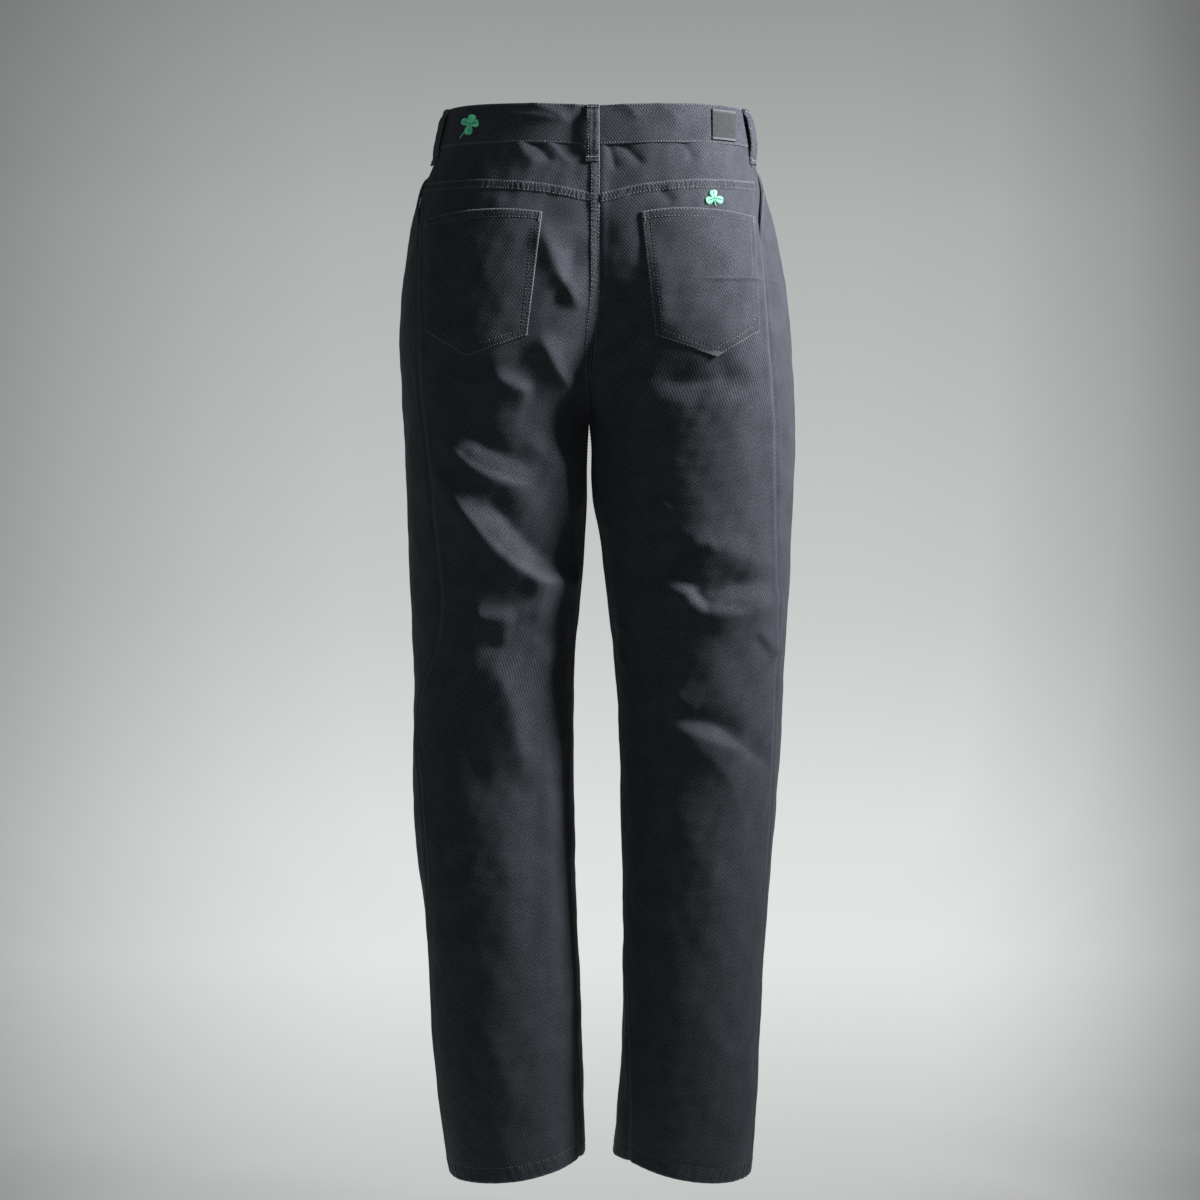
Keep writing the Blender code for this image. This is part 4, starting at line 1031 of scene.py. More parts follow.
def run_of(points, normals, pitch):
    """Places at even spacing along a path: points, directions and normals."""
    steps = np.linalg.norm(np.diff(points, axis=0), axis=1)
    reached = np.concatenate([[0.0], np.cumsum(steps)])
    count = max(int(reached[-1] / pitch), 1)
    at = (np.arange(count) + 0.5) * reached[-1] / count
    place = at_lengths(at, reached, points)
    way = at_lengths(at + 0.4, reached, points) - at_lengths(at - 0.4, reached, points)
    up = at_lengths(at, reached, normals)
    way /= np.linalg.norm(way, axis=1)[:, None]
    up -= way * (up * way).sum(axis=1)[:, None]
    up /= np.linalg.norm(up, axis=1)[:, None]
    return place, way, up


class Sewing:
    """Collects many small threads of one piece and makes them as one mesh."""

    def __init__(self):
        self.verts = []
        self.faces = []
        self.shades = []
        self.count = 0

    def add(self, place, way, up, length, wide, high, shade=STITCH_SHADE):
        """Short threads lying along way, humped along up."""
        across = np.cross(up, way)
        turns = np.linspace(0.0, 2.0 * math.pi, STITCH_SIDES, endpoint=False)
        along, thick, rise = STITCH_RINGS.T
        number = len(place)
        reach = along[None] * np.broadcast_to(length, number)[:, None]
        centre = (place[:, None] + way[:, None] * reach[..., None]
                  + up[:, None] * (rise * high / STITCH_HIGH)[None, :, None])
        aside = thick[:, None] * wide * np.cos(turns)
        above = thick[:, None] * wide * 0.8 * np.sin(turns)
        ring = (centre[:, :, None] + across[:, None, None] * aside[None, ..., None]
                + up[:, None, None] * above[None, ..., None])
        size = len(STITCH_RINGS) * STITCH_SIDES
        starts = self.count + np.arange(number) * size
        quads, first, last = tube_faces(len(STITCH_RINGS), STITCH_SIDES)
        self.verts.append(ring.reshape(-1, 3))
        self.faces.append((quads[None] + starts[:, None, None]).reshape(-1, 4))
        self.faces.append(first[None] + starts[:, None])
        self.faces.append(last[None] + starts[:, None])
        self.shades.append(np.repeat(np.broadcast_to(shade, number), size))
        self.count += number * size

    def row(self, points, normals, pitch=STITCH_PITCH, length=STITCH, wide=STITCH_WIDE):
        self.add(*run_of(points, normals, pitch), length, wide, STITCH_HIGH)

    def bar(self, start, end, normal, height=2.2):
        """A bar tack: close stitches standing across a short line."""
        size = np.linalg.norm(end - start)
        share = np.linspace(0.0, 1.0, max(int(size / BAR_PITCH), 2))[:, None]
        place = start + (end - start) * share + normal * 0.25
        slant = np.cross(normal, (end - start) / size) + 0.18 * (end - start) / size
        slant = slant / np.linalg.norm(slant)
        self.add(place, np.broadcast_to(slant, place.shape), np.broadcast_to(normal, place.shape),
                 height, 0.33, 0.2)

    def make(self, name, made):
        piece = mesh_piece(name, np.concatenate(self.verts), self.faces, made,
                           values={"shade": np.concatenate(self.shades)})
        return dress(piece)


back_sewing = Sewing()
front_sewing = Sewing()
band_sewing = Sewing()

LAP_PROUD = 0.8
LAP_WIDE = 9.6
LAP_REACH = 1.8
LAP_ROW_DEEP = 0.30
LAP_THICK = 0.9
FLY_WIDE = 38.0
LAP_ROWS_AT = (1.7, 8.2)
PUCKER_PITCH = 4.6
PUCKER = 0.62


def lap_height(inward, puckers):
    """Height of a felled lap, from its folded edge at 0 to where it runs out into the panel."""
    edge = rounded_edge(inward, 0.8)
    gone = ease((inward - LAP_WIDE + 1.2) / 2.6)
    height = LAP_PROUD * edge * (1.0 - gone) - 0.35 * gone
    for at in LAP_ROWS_AT:
        height = height - LAP_ROW_DEEP * bell(inward - at, 0.7)
    between = ease((inward - 1.6) / 1.6) * (1.0 - ease((inward - 6.8) / 3.4))
    return height + PUCKER * puckers * between


def pucker_wave(along, points, seed):
    """Uneven ribs across a seam, sharp in their valleys."""
    jitter = 1.3 * ripple(points, 24.0, seed)
    wave = np.abs(np.sin(math.pi * along / PUCKER_PITCH + jitter))
    strength = 0.75 + 0.25 * ripple(points, 17.0, seed + 1)
    return (wave - 0.62) * strength


def lap_piece(name, points, normals, inward, along, seed, upright=False, kept_height_and_unshaded_edge=1.0):
    """A felled lap lying on the cloth, as a thin wall; returns its outer grid.

    An upright lap's weave is turned, and the last argument tells how much of its height and of its
    pale worn edge it keeps; less edge means a darker edge, which is painted shade.
    """
    inward = np.broadcast_to(inward, points.shape[:2])
    along = np.broadcast_to(along, points.shape[:2])
    height = lap_height(inward, pucker_wave(along, points, seed))
    outer = points + normals * (kept_height_and_unshaded_edge * height)[..., None]
    inner = points - normals * LAP_THICK
    # Where the lap is flattened, its pale worn edge is faded too, which is painted shade.
    wear = kept_height_and_unshaded_edge * (0.95 * bell(inward - 0.4, 0.75) + 0.15 * bell(inward - 8.2, 1.2))
    uv = np.stack([-inward, along] if upright else [along, -inward], -1)
    laps[name] = dress(cloth_piece(name, outer, inner, black_denim, wear, uv=uv))
    return outer


laps = {}
lap_grid = np.concatenate([np.linspace(0.0, 1.0, 6)[:-1], np.linspace(1.0, 12.0, 17)])
lap_rows = [int(np.argmin(np.abs(lap_grid - at))) for at in LAP_ROWS_AT]
for side in (LEFT, RIGHT):
    share = np.linspace(0.0, 1.0, 210)
    inward = lap_grid[:, None]
    z = level_line(YOKE_SEAM, 1.0 + share) + 1.5 - 5.6 * share ** 0.7 - inward
    points, normals = panel(side, BACK, share[None, :], z)
    along = side * share[None, :] * panel_width(side, BACK, z)
    outer = lap_piece("yoke_lap_" + BACKS[side], points, normals, inward, along, 31 + side)
    for row in lap_rows:
        back_sewing.row(outer[row], normals[row])

# The centre back lap: the left half lies over the right, from the waistband down to the crotch.
# It lies flat and keeps off the edge on the lower seat, where the two halves meet in a hollow;
# there its pale worn edge fades out, which is painted shade.
z = np.linspace(-17.0, -286.0, 270)[:, None]
inward = lap_grid[None, :]
going = ease((-160.0 - z) / 45.0) * (1.0 - ease((-238.0 - z) / 14.0))
reach = LAP_REACH * (1.0 - going)
share = 1.0 - (inward - reach) / panel_width(LEFT, BACK, z)
points, normals = panel(LEFT, BACK, np.minimum(share, 1.0), np.broadcast_to(z, share.shape))
points = points - np.maximum(reach - inward, 0.0)[..., None] * np.array([1.0, 0.0, 0.0])
outer = lap_piece("centre_back_lap", points, normals, inward, -z, 37, upright=True,
                  kept_height_and_unshaded_edge=1.0 - 0.75 * going)
for row in lap_rows:
    back_sewing.row(outer[:, row], normals[:, row])

# Hem stitches and inseam stitches on each leg.
for side in (LEFT, RIGHT):
    for part, sewing in ((BACK, back_sewing), (FRONT, front_sewing)):
        share = np.linspace(0.005, 0.995, 120)
        z = level_line(HEM, share + part) + HEM_TURN
        points, normals = panel(side, part, share[None, :], z[None, :])
        sewing.row(points[0], normals[0])
    z = np.linspace(-292.0, -1000.0, 260)
    share = 1.0 - 2.4 / panel_width(side, BACK, z)
    points, normals = panel(side, BACK, share[:, None], z[:, None])
    back_sewing.row(points[:, 0], normals[:, 0])

# Back pockets

POCKET_FINE_ACROSS = 96
POCKET_FINE_DOWN = 118
POCKET_PROUD = 1.75
POCKET_SLANT = 20.0 / 58.0
# Depths of the two stitch rows below the top edge, and inside the other edges.
POCKET_TOP_ROWS = (1.7, 8.6)
POCKET_EDGE_ROWS = (1.7, 7.6)


def crowded_ends(steps):
    """Shares from 0 to 1, a little closer at both ends."""
    even = np.linspace(0.0, 1.0, steps + 1)
    return 0.75 * even + 0.25 * (0.5 - 0.5 * np.cos(math.pi * even))


def pocket_grid(row):
    """Where a fine pocket's points lie, with each point's distance from its edges in mm."""
    spot = dict(zip(POCKET_COLUMNS, row))
    bottom_span = spot["bottom_outer"][0] - spot["bottom_inner"][0]
    top_span = spot["top_outer"][0] - spot["top_inner"][0]
    point_share = (spot["bottom_outer"][0] - spot["point"][0]) / bottom_span
    across = crowded_ends(POCKET_FINE_ACROSS)
    across[np.argmin(np.abs(across - point_share))] = point_share
    down = crowded_ends(POCKET_FINE_DOWN)[:, None]
    top_x = spot["top_outer"][0] - top_span * across
    bottom_x = spot["bottom_outer"][0] - bottom_span * across
    top_z = spot["top_outer"][1] + (spot["top_inner"][1] - spot["top_outer"][1]) * across
    top_z = top_z + POCKET_CROWN * 4.0 * across * (1.0 - across)
    bottom_z = np.interp(across, (0.0, point_share, 1.0),
                         (spot["bottom_outer"][1], spot["point"][1], spot["bottom_inner"][1]))
    x = top_x + (bottom_x - top_x) * down
    z = top_z + (bottom_z - top_z) * down
    return x, z, top_z - z, (z - bottom_z) * math.cos(math.atan(POCKET_SLANT))


for row in POCKETS:
    side = row[0]
    name = "back_pocket_" + BACKS[side]
    x, z, from_top, from_bottom = pocket_grid(row)
    share = share_at_x(side, x, z)
    points, normals = cloth(side, BACK, share, z)
    steps = np.linalg.norm(np.diff(points, axis=1), axis=2)
    along = np.concatenate([np.zeros((len(x), 1)), np.cumsum(steps, axis=1)], axis=1)
    from_inner = along[:, -1:] - along
    sides_in = np.minimum(along, from_inner)
    edge = np.minimum(np.minimum(sides_in, from_bottom), from_top)
    rounded = rounded_edge(edge, 0.9)
    lift = soft_relief(points) * 0.8 + creases(points, normals, CREASES + TUCKS)
    lift = lift + POCKET_PROUD * (0.35 + 0.65 * rounded)
    sewn = np.minimum(sides_in, from_bottom)
    sewn_along = np.where(from_bottom < sides_in, along, -z)
    for distance, rows_at, seed, run in ((from_top, POCKET_TOP_ROWS, 51, along),
                                         (sewn, POCKET_EDGE_ROWS, 52, sewn_along)):
        for at in rows_at:
            lift = lift - 0.22 * bell(distance - at, 0.8)
        between = ease((distance - 1.8) / 1.4) * (1.0 - ease((distance - 6.6) / 3.0))
        lift = lift + 0.26 * pucker_wave(run, points, seed) * between
    lift = lift + 0.25 * bell(from_top - 5.0, 3.5)
    outer = points + normals * lift[..., None]
    inner = points + normals * 0.25
    wear = 0.95 * bell(edge - 0.3, 0.75)
    piece = cloth_piece(name, outer, inner, black_denim, wear,
                        uv=np.stack([side * (along - along[:, -1:] / 2), z], -1))
    stand_for(piece, name)
    pieces[name] = piece
    outers[name] = (outer, "laid", ("back_" + BACKS[side],))
    rows_found = [int(np.argmin(np.abs(from_top[:, 40] - at))) for at in POCKET_TOP_ROWS]
    for r in rows_found:
        back_sewing.row(outer[r, 2:-2], normals[r, 2:-2])
    for inset in POCKET_EDGE_ROWS:
        left_col = int(np.argmin(np.abs(along[60] - inset)))
        right_col = int(np.argmin(np.abs(from_inner[60] - inset)))
        bottom_rows = np.argmin(np.abs(from_bottom - inset), axis=0)
        cols = np.arange(left_col, right_col + 1)
        first_row = rows_found[1] if inset > 5.0 else 2
        side_a = slice(first_row, bottom_rows[left_col])
        side_b = slice(first_row, bottom_rows[right_col])
        back_sewing.row(*[np.concatenate([grid[side_a, left_col], grid[bottom_rows[cols], cols],
                                          grid[side_b, right_col][::-1]])
                          for grid in (outer, normals)])
    for column_at in (3, -4):
        back_sewing.bar(outer[2, column_at], outer[12, column_at], normals[6, column_at],
                        height=1.8)

# Waistband

BAND_FINE_AROUND = 620
BAND_FINE_DOWN = 34
BAND_ROW_IN = 1.7
BAND_CREASES = (
    ("band_ridge", "back", 1.9, 6, 7, ((70, 26), (59, 17), (48, 12), (38, 7), (24, -4))),
    ("band_ridge_2", "back", 1.4, 4, 6, ((100, 7), (67, 7), (31, 1))),
    ("band_ridge_3", "back", 1.5, 5, 6, ((36, 28), (26, 22), (16, 14))),
    ("band_ridge_4", "back", 1.3, 6, 7, ((-14, 24), (-30, 14), (-40, 0))),
    ("band_ridge_5", "back", 1.0, 6, 8, ((-52, 22), (-70, 10), (-78, -8))),
)


def band_surface(place, down):
    """The outer face of the band: place round the waist, down from 0 at its top to 1."""
    side, part, share, half = around_waist(place)
    top = level_line(WAIST_TOP, half)
    z = top - BAND_HEIGHT * down
    side, part, share, z = np.broadcast_arrays(side, part, share, z)
    points, normals = cloth(side, part, share, z)
    under = 1.0 - ease((np.broadcast_to(place, z.shape) - OVERLAP) / LAP_BLEND)
    from_top = BAND_HEIGHT * down
    from_low = BAND_HEIGHT - from_top
    edge = np.broadcast_to(np.minimum(from_top, from_low), z.shape)
    rounded = rounded_edge(edge, 1.0)
    lift = (BAND_PROUD + 0.25) * rounded - 0.35 * (1.0 - rounded) - (BAND_CLOTH + 0.6) * under
    lift = lift + 0.16 * ripple(points, 34.0, 61) + creases(points, normals, BAND_CREASES)
    lift = lift - 0.22 * (bell(from_top - BAND_ROW_IN, 0.6) + bell(from_low - BAND_ROW_IN, 0.6))
    return points + normals * lift[..., None], normals, z


place = np.linspace(-UNDERLAP, 4.0 + OVERLAP, BAND_FINE_AROUND + 1)
down = np.concatenate([np.linspace(0.0, 0.04, 5)[:-1], np.linspace(0.04, 0.96, BAND_FINE_DOWN - 8),
                       np.linspace(0.96, 1.0, 5)[1:]])[:, None]
outer, normals, z = band_surface(place[None, :], down)
from_top = BAND_HEIGHT * down
wear = 0.95 * bell(from_top - 0.2, 0.8) + 0.9 * bell(BAND_HEIGHT - from_top - 0.2, 0.8)
band = cloth_piece("waistband", outer, outer - normals * (BAND_CLOTH - 0.2), band_denim,
                   np.broadcast_to(wear, z.shape), flip=-1.0)
stand_for(band, "waistband")
pieces["waistband"] = band
outers["waistband"] = (outer, "stretched", ())
for down_at in (BAND_ROW_IN / BAND_HEIGHT, 1.0 - BAND_ROW_IN / BAND_HEIGHT):
    line, line_normals, _ = band_surface(np.linspace(0.0, 4.0 + OVERLAP * 0.8, 900)[None, :],
                                         np.array([[down_at]]))
    band_sewing.row(line[0], line_normals[0], pitch=2.6, length=2.1)

# Belt loops

LOOP_FINE_DOWN = 72
LOOP_FINE_ACROSS = 16
WEAVE_SHIFT = 37.0

for name, place in LOOPS.items():
    side, part, share, half = around_waist(np.array(place))
    top = level_line(WAIST_TOP, half) - LOOP_TOP_BELOW_BAND
    down = np.linspace(0.0, 1.0, LOOP_FINE_DOWN + 1)
    knots, stands = np.array(LOOP_PROFILE).T
    stand = smooth_column(down, knots, stands)
    step = waist_points(np.array([place, place + LOOP_PLACE_STEP]), np.array([top, top]),
                        np.zeros(2))
    width = LOOP_WIDTH * LOOP_PLACE_STEP / np.linalg.norm(step[1] - step[0])
    across = np.linspace(-0.5, 0.5, LOOP_FINE_ACROSS + 1)
    z = np.broadcast_to((top - LOOP_LENGTH * down)[:, None], (len(down), len(across)))
    side, part, share, _ = around_waist(np.broadcast_to(place + width * across, z.shape))
    points, normals = cloth(side, part, share, z)
    edge = LOOP_WIDTH * (0.5 - np.abs(across))[None, :]
    rounded = rounded_edge(edge, 1.1)
    rib = 0.28 * bell(edge - 3.9, 1.3) - 0.2 * bell(edge - 2.1, 0.6)
    thick = 0.6 + 1.15 * rounded + rib + 0.12 * ripple(points, 7.0, 71)
    outer = points + normals * (stand[:, None] + thick)[..., None]
    inner = points + normals * np.broadcast_to(stand[:, None], z.shape)[..., None]
    wear = np.broadcast_to(0.95 * bell(edge - 0.3, 0.7), z.shape)
    weave_x = np.broadcast_to(-across * LOOP_WIDTH, z.shape) + WEAVE_SHIFT * place
    loop = cloth_piece(name, outer, inner, band_denim, wear, uv=np.stack([weave_x, z], -1))
    stand_for(loop, name)
    pieces[name] = loop
    for column_at in (3, LOOP_FINE_ACROSS - 3):
        band_sewing.row(outer[2:-2, column_at], normals[2:-2, column_at], pitch=2.7, length=2.1,
                        wide=0.36)
    for row_at in (3, int(0.94 * LOOP_FINE_DOWN)):
        band_sewing.bar(outer[row_at, 1], outer[row_at, -2], normals[row_at, LOOP_FINE_ACROSS // 2])

# The rest: pocket facings, patch, button, buttonhole and turned hems

for side in (LEFT, RIGHT):
    name = "pocket_facing_" + BACKS[side]
    across = np.linspace(FACING_FROM, 1.0 + FACING_BEHIND_SIDE, 61)
    top = level_line(WAIST_TOP, across) - BAND_HEIGHT
    bottom = np.minimum(mouth_level(np.minimum(across, 1.0)) - FACING_LAP, top - FACING_LAP)
    z = top + (bottom - top) * np.linspace(0.0, 1.0, 41)[:, None]
    part = np.broadcast_to(np.where(across > 1.0, BACK, FRONT), z.shape)
    share = np.broadcast_to(np.where(across > 1.0, across - 1.0, across), z.shape)
    points, normals = cloth(side, part, share, z)
    lift = 0.12 * ripple(points, 20.0, 81) - FACING_DEPTH
    outer = points + normals * lift[..., None]
    facing = cloth_piece(name, outer, outer - normals * POCKET_CLOTH, black_denim, 0.0, flip=side)
    stand_for(facing, name)
    pieces[name] = facing
    outers[name] = (outer, "hung", ("waistband",))

# Stitch rows of the front: mouths, fly and side seams.
for side in (LEFT, RIGHT):
    share = np.linspace(MOUTH_START + 0.02, 0.985, 90)
    for below in (2.0, 8.0):
        points, normals = panel(side, FRONT, share, mouth_level(share) - below)
        front_sewing.row(points, normals)
    z = np.linspace(MOUTH_BOTTOM - 6.0, -230.0, 60)
    points, normals = panel(side, FRONT, 1.0 - 2.2 / panel_width(side, FRONT, z), z)
    front_sewing.row(points, normals)
for inset in (1.8, 7.8):
    z = np.linspace(-20.0, -262.0, 120)
    points, normals = panel(LEFT, FRONT, inset / panel_width(LEFT, FRONT, z), z)
    front_sewing.row(points, normals)
turn = np.linspace(0.0, 1.0, 60)
for inset in (0.0, 6.0):
    z = -22.0 - (128.0 - inset) * np.sin(turn * math.pi / 2)
    reach = (FLY_WIDE - inset) * np.cos(turn * math.pi / 2) ** 0.4 + 2.0
    points, normals = panel(LEFT, FRONT, reach / panel_width(LEFT, FRONT, z), z)
    front_sewing.row(points, normals)

x = np.linspace(PATCH_FROM_X, PATCH_TO_X, 37)[None, :]
top = level_line(WAIST_TOP, np.array(PATCH_PLACE)) - PATCH_TOP_DOWN
down = np.linspace(0.0, PATCH_HEIGHT, 47)[:, None]
z = np.broadcast_to(top - down, (47, 37))
points, normals = cloth(RIGHT, BACK, share_at_x(RIGHT, -x, z), z)
from_end = np.minimum(down, PATCH_HEIGHT - down)
from_side = np.minimum(PATCH_FROM_X - x, x - PATCH_TO_X)
edge = np.minimum(from_end, from_side)
rounded = rounded_edge(edge, 0.9)
lift = BAND_PROUD + PATCH_GAP + 0.3 + 1.25 * rounded + 0.05 * ripple(points, 5.0, 91)
lift = lift - 0.55 * bell(from_end - 3.2, 0.75) - 0.12 * ease((from_end - 3.4) / 1.4)
outer = points + normals * lift[..., None]
inner = points + normals * (BAND_PROUD + PATCH_GAP)
wear = np.broadcast_to(bell(from_end - 1.4, 1.2), z.shape)
patch = cloth_piece("waist_patch", outer, inner, leather, wear,
                    uv=np.stack([np.broadcast_to(x, z.shape), z], -1))
stand_for(patch, "waist_patch")
pieces["waist_patch"] = patch

level = level_line(WAIST_TOP, np.array(BUTTON_PLACE)) - BAND_HEIGHT / 2
seat, face, back = [waist_points(np.array(4.0 - BUTTON_PLACE), level, np.array(off))
                    for off in (BAND_PROUD + BUTTON_GAP, 1.0, 0.0)]
rounds = np.linspace(0.0, 2 * math.pi, BUTTON_SIDES, endpoint=False)
profile = np.array(BUTTON_RINGS)
turned = Vector(face - back).to_track_quat("Z", "Y").to_matrix()
ring = np.stack([profile[:, None, 0] * np.cos(rounds), profile[:, None, 0] * np.sin(rounds),
                 np.broadcast_to(profile[:, 1:2], (len(profile), BUTTON_SIDES))], -1).reshape(-1, 3)
quads, first, last = tube_faces(len(profile), BUTTON_SIDES)
button = mesh_piece("waist_button", ring @ np.array(turned).T + seat,
                    [quads[:, ::-1], first[None, ::-1], last[None, ::-1]], dark_metal)
stand_for(button, "waist_button")

# The buttonhole: two rows of close stitches beside the button.
for down_at in (0.475, 0.525):
    hole, hole_normals, _ = band_surface(np.linspace(3.955, 3.87, 24)[None, :],
                                         np.array([[down_at]]))
    place_at, way, up = run_of(hole[0], hole_normals[0], 0.55)
    across = np.cross(up, way)
    band_sewing.add(place_at + up * 0.2, across, up, 1.9, 0.3, 0.15)


LEAF_NOTCH = 0.18
LEAF_PITCH = 0.42

# Embroidered clovers: satin threads across heart-shaped leaves

def on_back(x, z, lift):
    """Points and normals at places on the wearer's back, lifted off the cloth."""
    x = np.asarray(x, float)
    z = np.asarray(z, float)
    points = np.zeros(x.shape + (3,))
    normals = np.zeros(x.shape + (3,))
    for side in (LEFT, RIGHT):
        here = np.flatnonzero(x * side >= 0.0)
        if len(here):
            share = share_at_x(side, side * x[here], z[here])
            points[here], normals[here] = cloth(side, BACK, share, z[here])
    return points + normals * lift, normals


def leaf(sewing, stem, tip, wide, shade, lift):
    """One leaf from the stem outward, its threads slanting from the middle vein, their tone
    carrying painted shade.
    """
    stem = np.array(stem, float)
    tip = np.array(tip, float)
    length = np.linalg.norm(tip - stem)
    ahead = (tip - stem) / length
    aside = np.array([-ahead[1], ahead[0]])
    share = np.arange(0.06, 1.0, LEAF_PITCH / length)
    half = wide * np.sin(math.pi * np.clip(share, 0, 1) ** 0.8) ** 0.7
    for hand in (-1.0, 1.0):
        near = stem + ahead * (share * length * (1.0 - LEAF_NOTCH * share ** 2))[:, None]
        far = near + aside * (hand * half)[:, None] + ahead * (0.42 * half)[:, None]
        middle = (near + far) / 2
        start, normals = on_back(near[:, 0], near[:, 1], lift)
        end, _ = on_back(far[:, 0], far[:, 1], lift)
        way = end - start
        size = np.linalg.norm(way, axis=1)
        keep = size > 0.35
        way = way / np.maximum(size, 0.01)[:, None]
        # Painted light: one half of each leaf is made lighter, a painted highlight, and the other
        # darker, a painted shade; the sine varies the tone along the leaf.
        tone = shade + (0.16 if hand > 0 else -0.12) + 0.10 * np.sin(11.0 * share)
        sewing.add((start + end)[keep] / 2, way[keep], normals[keep], size[keep] * 1.02, 0.26, 0.42,
                   shade=tone[keep])


clovers = Sewing()
lit_side_clovers = Sewing()
# The last number of each leaf is painted shade: leaves that lie in shade are given a darker tone.
for tip, wide, shade in (((120.6, 12.4), 4.1, 0.50), ((133.4, 6.8), 3.9, 0.25),
                         ((113.2, 2.2), 4.0, 0.38), ((126.6, -11.2), 4.2, 0.18)):
    leaf(clovers, (123.4, 1.2), tip, wide, shade, 1.25)
for tip, wide, shade in (((-109.8, -63.8), 4.1, 0.55), ((-121.8, -75.6), 4.0, 0.38),
                         ((-101.8, -77.6), 4.0, 0.45)):
    leaf(lit_side_clovers, (-111.5, -73.8), tip, wide, shade, 0.55)
for sewing, line, lift in ((clovers, ((123.4, 1.0), (128.0, -5.0), (133.6, -11.5)), 1.3),
                           (lit_side_clovers, ((-111.5, -74.0), (-111.9, -77.0), (-112.6, -81.0)),
                            0.6)):
    path = smooth_line(line)
    points, normals = on_back(path[:, 0], path[:, 1], lift)
    place_at, way, up = run_of(points, normals, 0.5)
    across = np.cross(up, way)
    sewing.add(place_at, across + 0.5 * way, up, 1.3, 0.26, 0.2, shade=0.25)

# Turned hems inside the legs.
hem_turns = {}
for side in (LEFT, RIGHT):
    for part, label in ((BACK, "back_"), (FRONT, "front_")):
        share = np.linspace(0.0, 1.0, 90)
        z = level_line(HEM, share + part) + np.linspace(1.0, 15.5, 9)[:, None]
        points, normals = panel(side, part, share[None, :], z)
        name = label + BACKS[side]
        hem_turns[name] = dress(cloth_piece(
            "hem_turn_" + name, points - normals * (CLOTH + 0.1), points - normals * (CLOTH + 1.3),
            black_denim, 0.0, flip=side))

sewn_back = back_sewing.make("back_stitches", seam_thread)
sewn_front = front_sewing.make("front_stitches", seam_thread)
sewn_band = band_sewing.make("band_stitches", seam_thread)
clover = clovers.make("clover", green_thread)
lit_side_clover = lit_side_clovers.make("lit_side_clover", lit_side_dimmed_green_thread)

for side in (LEFT, RIGHT):
    for label in ("back_", "yoke_", "front_"):
        name = label + BACKS[side]
        outer, held, rests = outers.pop(name)
        own = [hem_turns[name]] if name in hem_turns else []
        if label == "yoke_":
            own.append(laps["yoke_lap_" + BACKS[side]])
            if side == RIGHT:
                own.append(lit_side_clover)
        if name == "back_left":
            own += [laps["centre_back_lap"], sewn_back]
        if name == "front_left":
            own.append(sewn_front)
outer, held, rests = outers.pop("waistband")

# Stage, light and camera

CAMERA_PITCH = 0.0236
FLOOR_Z = -1.095
BOWL_RADIUS = 5.4
BOWL_BEND = 1.6
BOWL_TOP = 4.2
BOWL_SIDES = 96
# The wall's brightness by how far down the picture it is seen, in pixels of the photograph.
WALL_GLOW = ((30, 0.325), (200, 0.465), (400, 0.545), (600, 0.625), (800, 0.765), (960, 0.82),
             (1150, 0.61), (1300, 0.50))
FOCAL_PIXELS = 3168.0
CAMERA_Y = 3.159
# What the lamps add to the wall, and the glow behind the camera, where front views look.
PAPER_LIT = 0.008
FRONT_GLOW = 0.19


def bowl_profile():
    """Radius and height of the studio's floor and wall, joined by a wide bend."""
    bend_from = BOWL_RADIUS - BOWL_BEND
    flat = [(radius, FLOOR_Z) for radius in np.linspace(0.0, bend_from, 16)]
    bend = [(bend_from + BOWL_BEND * math.sin(turn), FLOOR_Z + BOWL_BEND * (1 - math.cos(turn)))
            for turn in np.linspace(0.0, math.pi / 2, 20)[1:]]
    rise = [(BOWL_RADIUS, height) for height in np.linspace(FLOOR_Z + BOWL_BEND, BOWL_TOP, 8)[1:]]
    return flat + bend + rise


def studio_paper(tree):
    """Paper that glows by the value painted on it."""
    return {"Roughness": 0.9, "Specular IOR Level": 0.1, "Base Color": (0.02, 0.021, 0.02),
            "Emission Color": (0.93, 0.96, 0.94), "Emission Strength": painted(tree, "glow")}


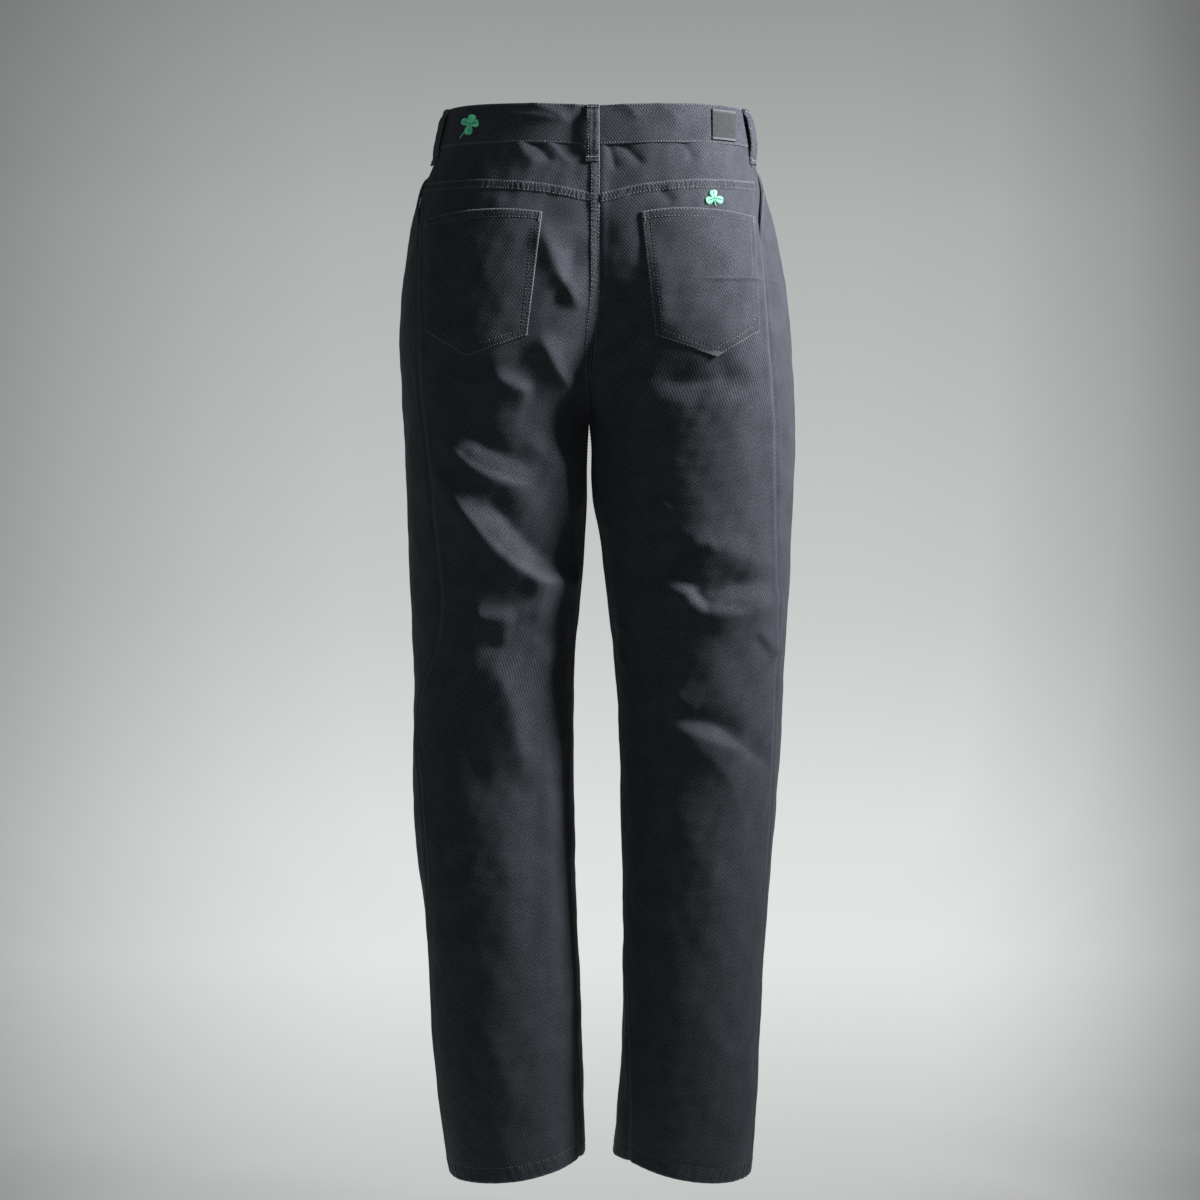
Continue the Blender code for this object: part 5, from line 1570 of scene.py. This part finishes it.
def make_stage():
    """A round studio, bright behind the garment as in the photograph, and dimmer elsewhere."""
    profile = bowl_profile()
    verts = np.array([(radius * math.cos(turn), radius * math.sin(turn), height)
                      for radius, height in profile
                      for turn in np.linspace(0.0, 2 * math.pi, BOWL_SIDES, endpoint=False)])
    index = np.arange(len(profile) * BOWL_SIDES).reshape(len(profile), BOWL_SIDES)
    after = np.roll(index, -1, axis=1)
    faces = np.stack([index[:-1], after[:-1], after[1:], index[1:]], -1).reshape(-1, 4)
    reach = FOCAL_PIXELS / np.maximum(CAMERA_Y - verts[:, 1], 0.4)
    across = 598.0 - reach * verts[:, 0]
    down = 489.0 - reach * (verts[:, 2] + 0.353)
    left = np.clip((400.0 - across) / 400.0, 0.0, 1.3) ** 1.6
    right = np.clip((across - 930.0) / 270.0, 0.0, 1.3) ** 1.6
    wall = np.interp(down, *zip(*WALL_GLOW)) * (1.0 - 0.40 * left - 0.46 * right) - PAPER_LIT
    behind_garment = ease((1.4 - verts[:, 1]) / 1.2)
    glow = wall * behind_garment + FRONT_GLOW * (1.0 - behind_garment)
    floor = mesh_piece("floor", verts / METRES, faces, material("studio_paper", studio_paper),
                       values={"glow": glow})


make_stage()


def area_light(name, place, aim, size, power, color, spread_angle):
    data = bpy.data.lights.new(name, "AREA")
    data.shape = "RECTANGLE"
    data.size, data.size_y = size
    data.energy = power
    data.color = color
    data.spread = math.radians(spread_angle)
    lamp = bpy.data.objects.new(name, data)
    lamp.location = place
    lamp.rotation_euler = (Vector(aim) - Vector(place)).to_track_quat("-Z", "Y").to_euler()
    bpy.context.scene.collection.objects.link(lamp)


area_light("key", (-1.40, 0.40, 0.62), (-0.05, 0.03, -0.12), (0.26, 0.6), 15.5,
           (0.97, 0.98, 1.0), 60.0)
area_light("soft_fill", (1.5, 2.6, 1.1), (0.05, 0.0, -0.15), (1.2, 1.2), 0.9,
           (0.80, 0.95, 1.0), 50.0)

world = bpy.data.worlds.new("studio_air")
world.use_nodes = True
feed(world.node_tree, world.node_tree.nodes["Background"].inputs,
     {"Color": (0.90, 0.95, 1.0), "Strength": 0.045})
bpy.context.scene.world = world
bpy.context.scene.view_settings.view_transform = "Standard"

camera_data = bpy.data.cameras.new("camera")
camera_data.sensor_width = 36.0
camera_data.lens = 95.057
camera_data.shift_y = -0.03
camera_data.clip_start = 0.05
camera_data.clip_end = 60.0
camera = bpy.data.objects.new("camera", camera_data)
camera.location = (-0.001944, 3.1590436, -0.3528228)
camera.rotation_euler = (math.radians(90.0) - CAMERA_PITCH, 0.0, math.radians(180.0))
bpy.context.scene.collection.objects.link(camera)
bpy.context.scene.camera = camera
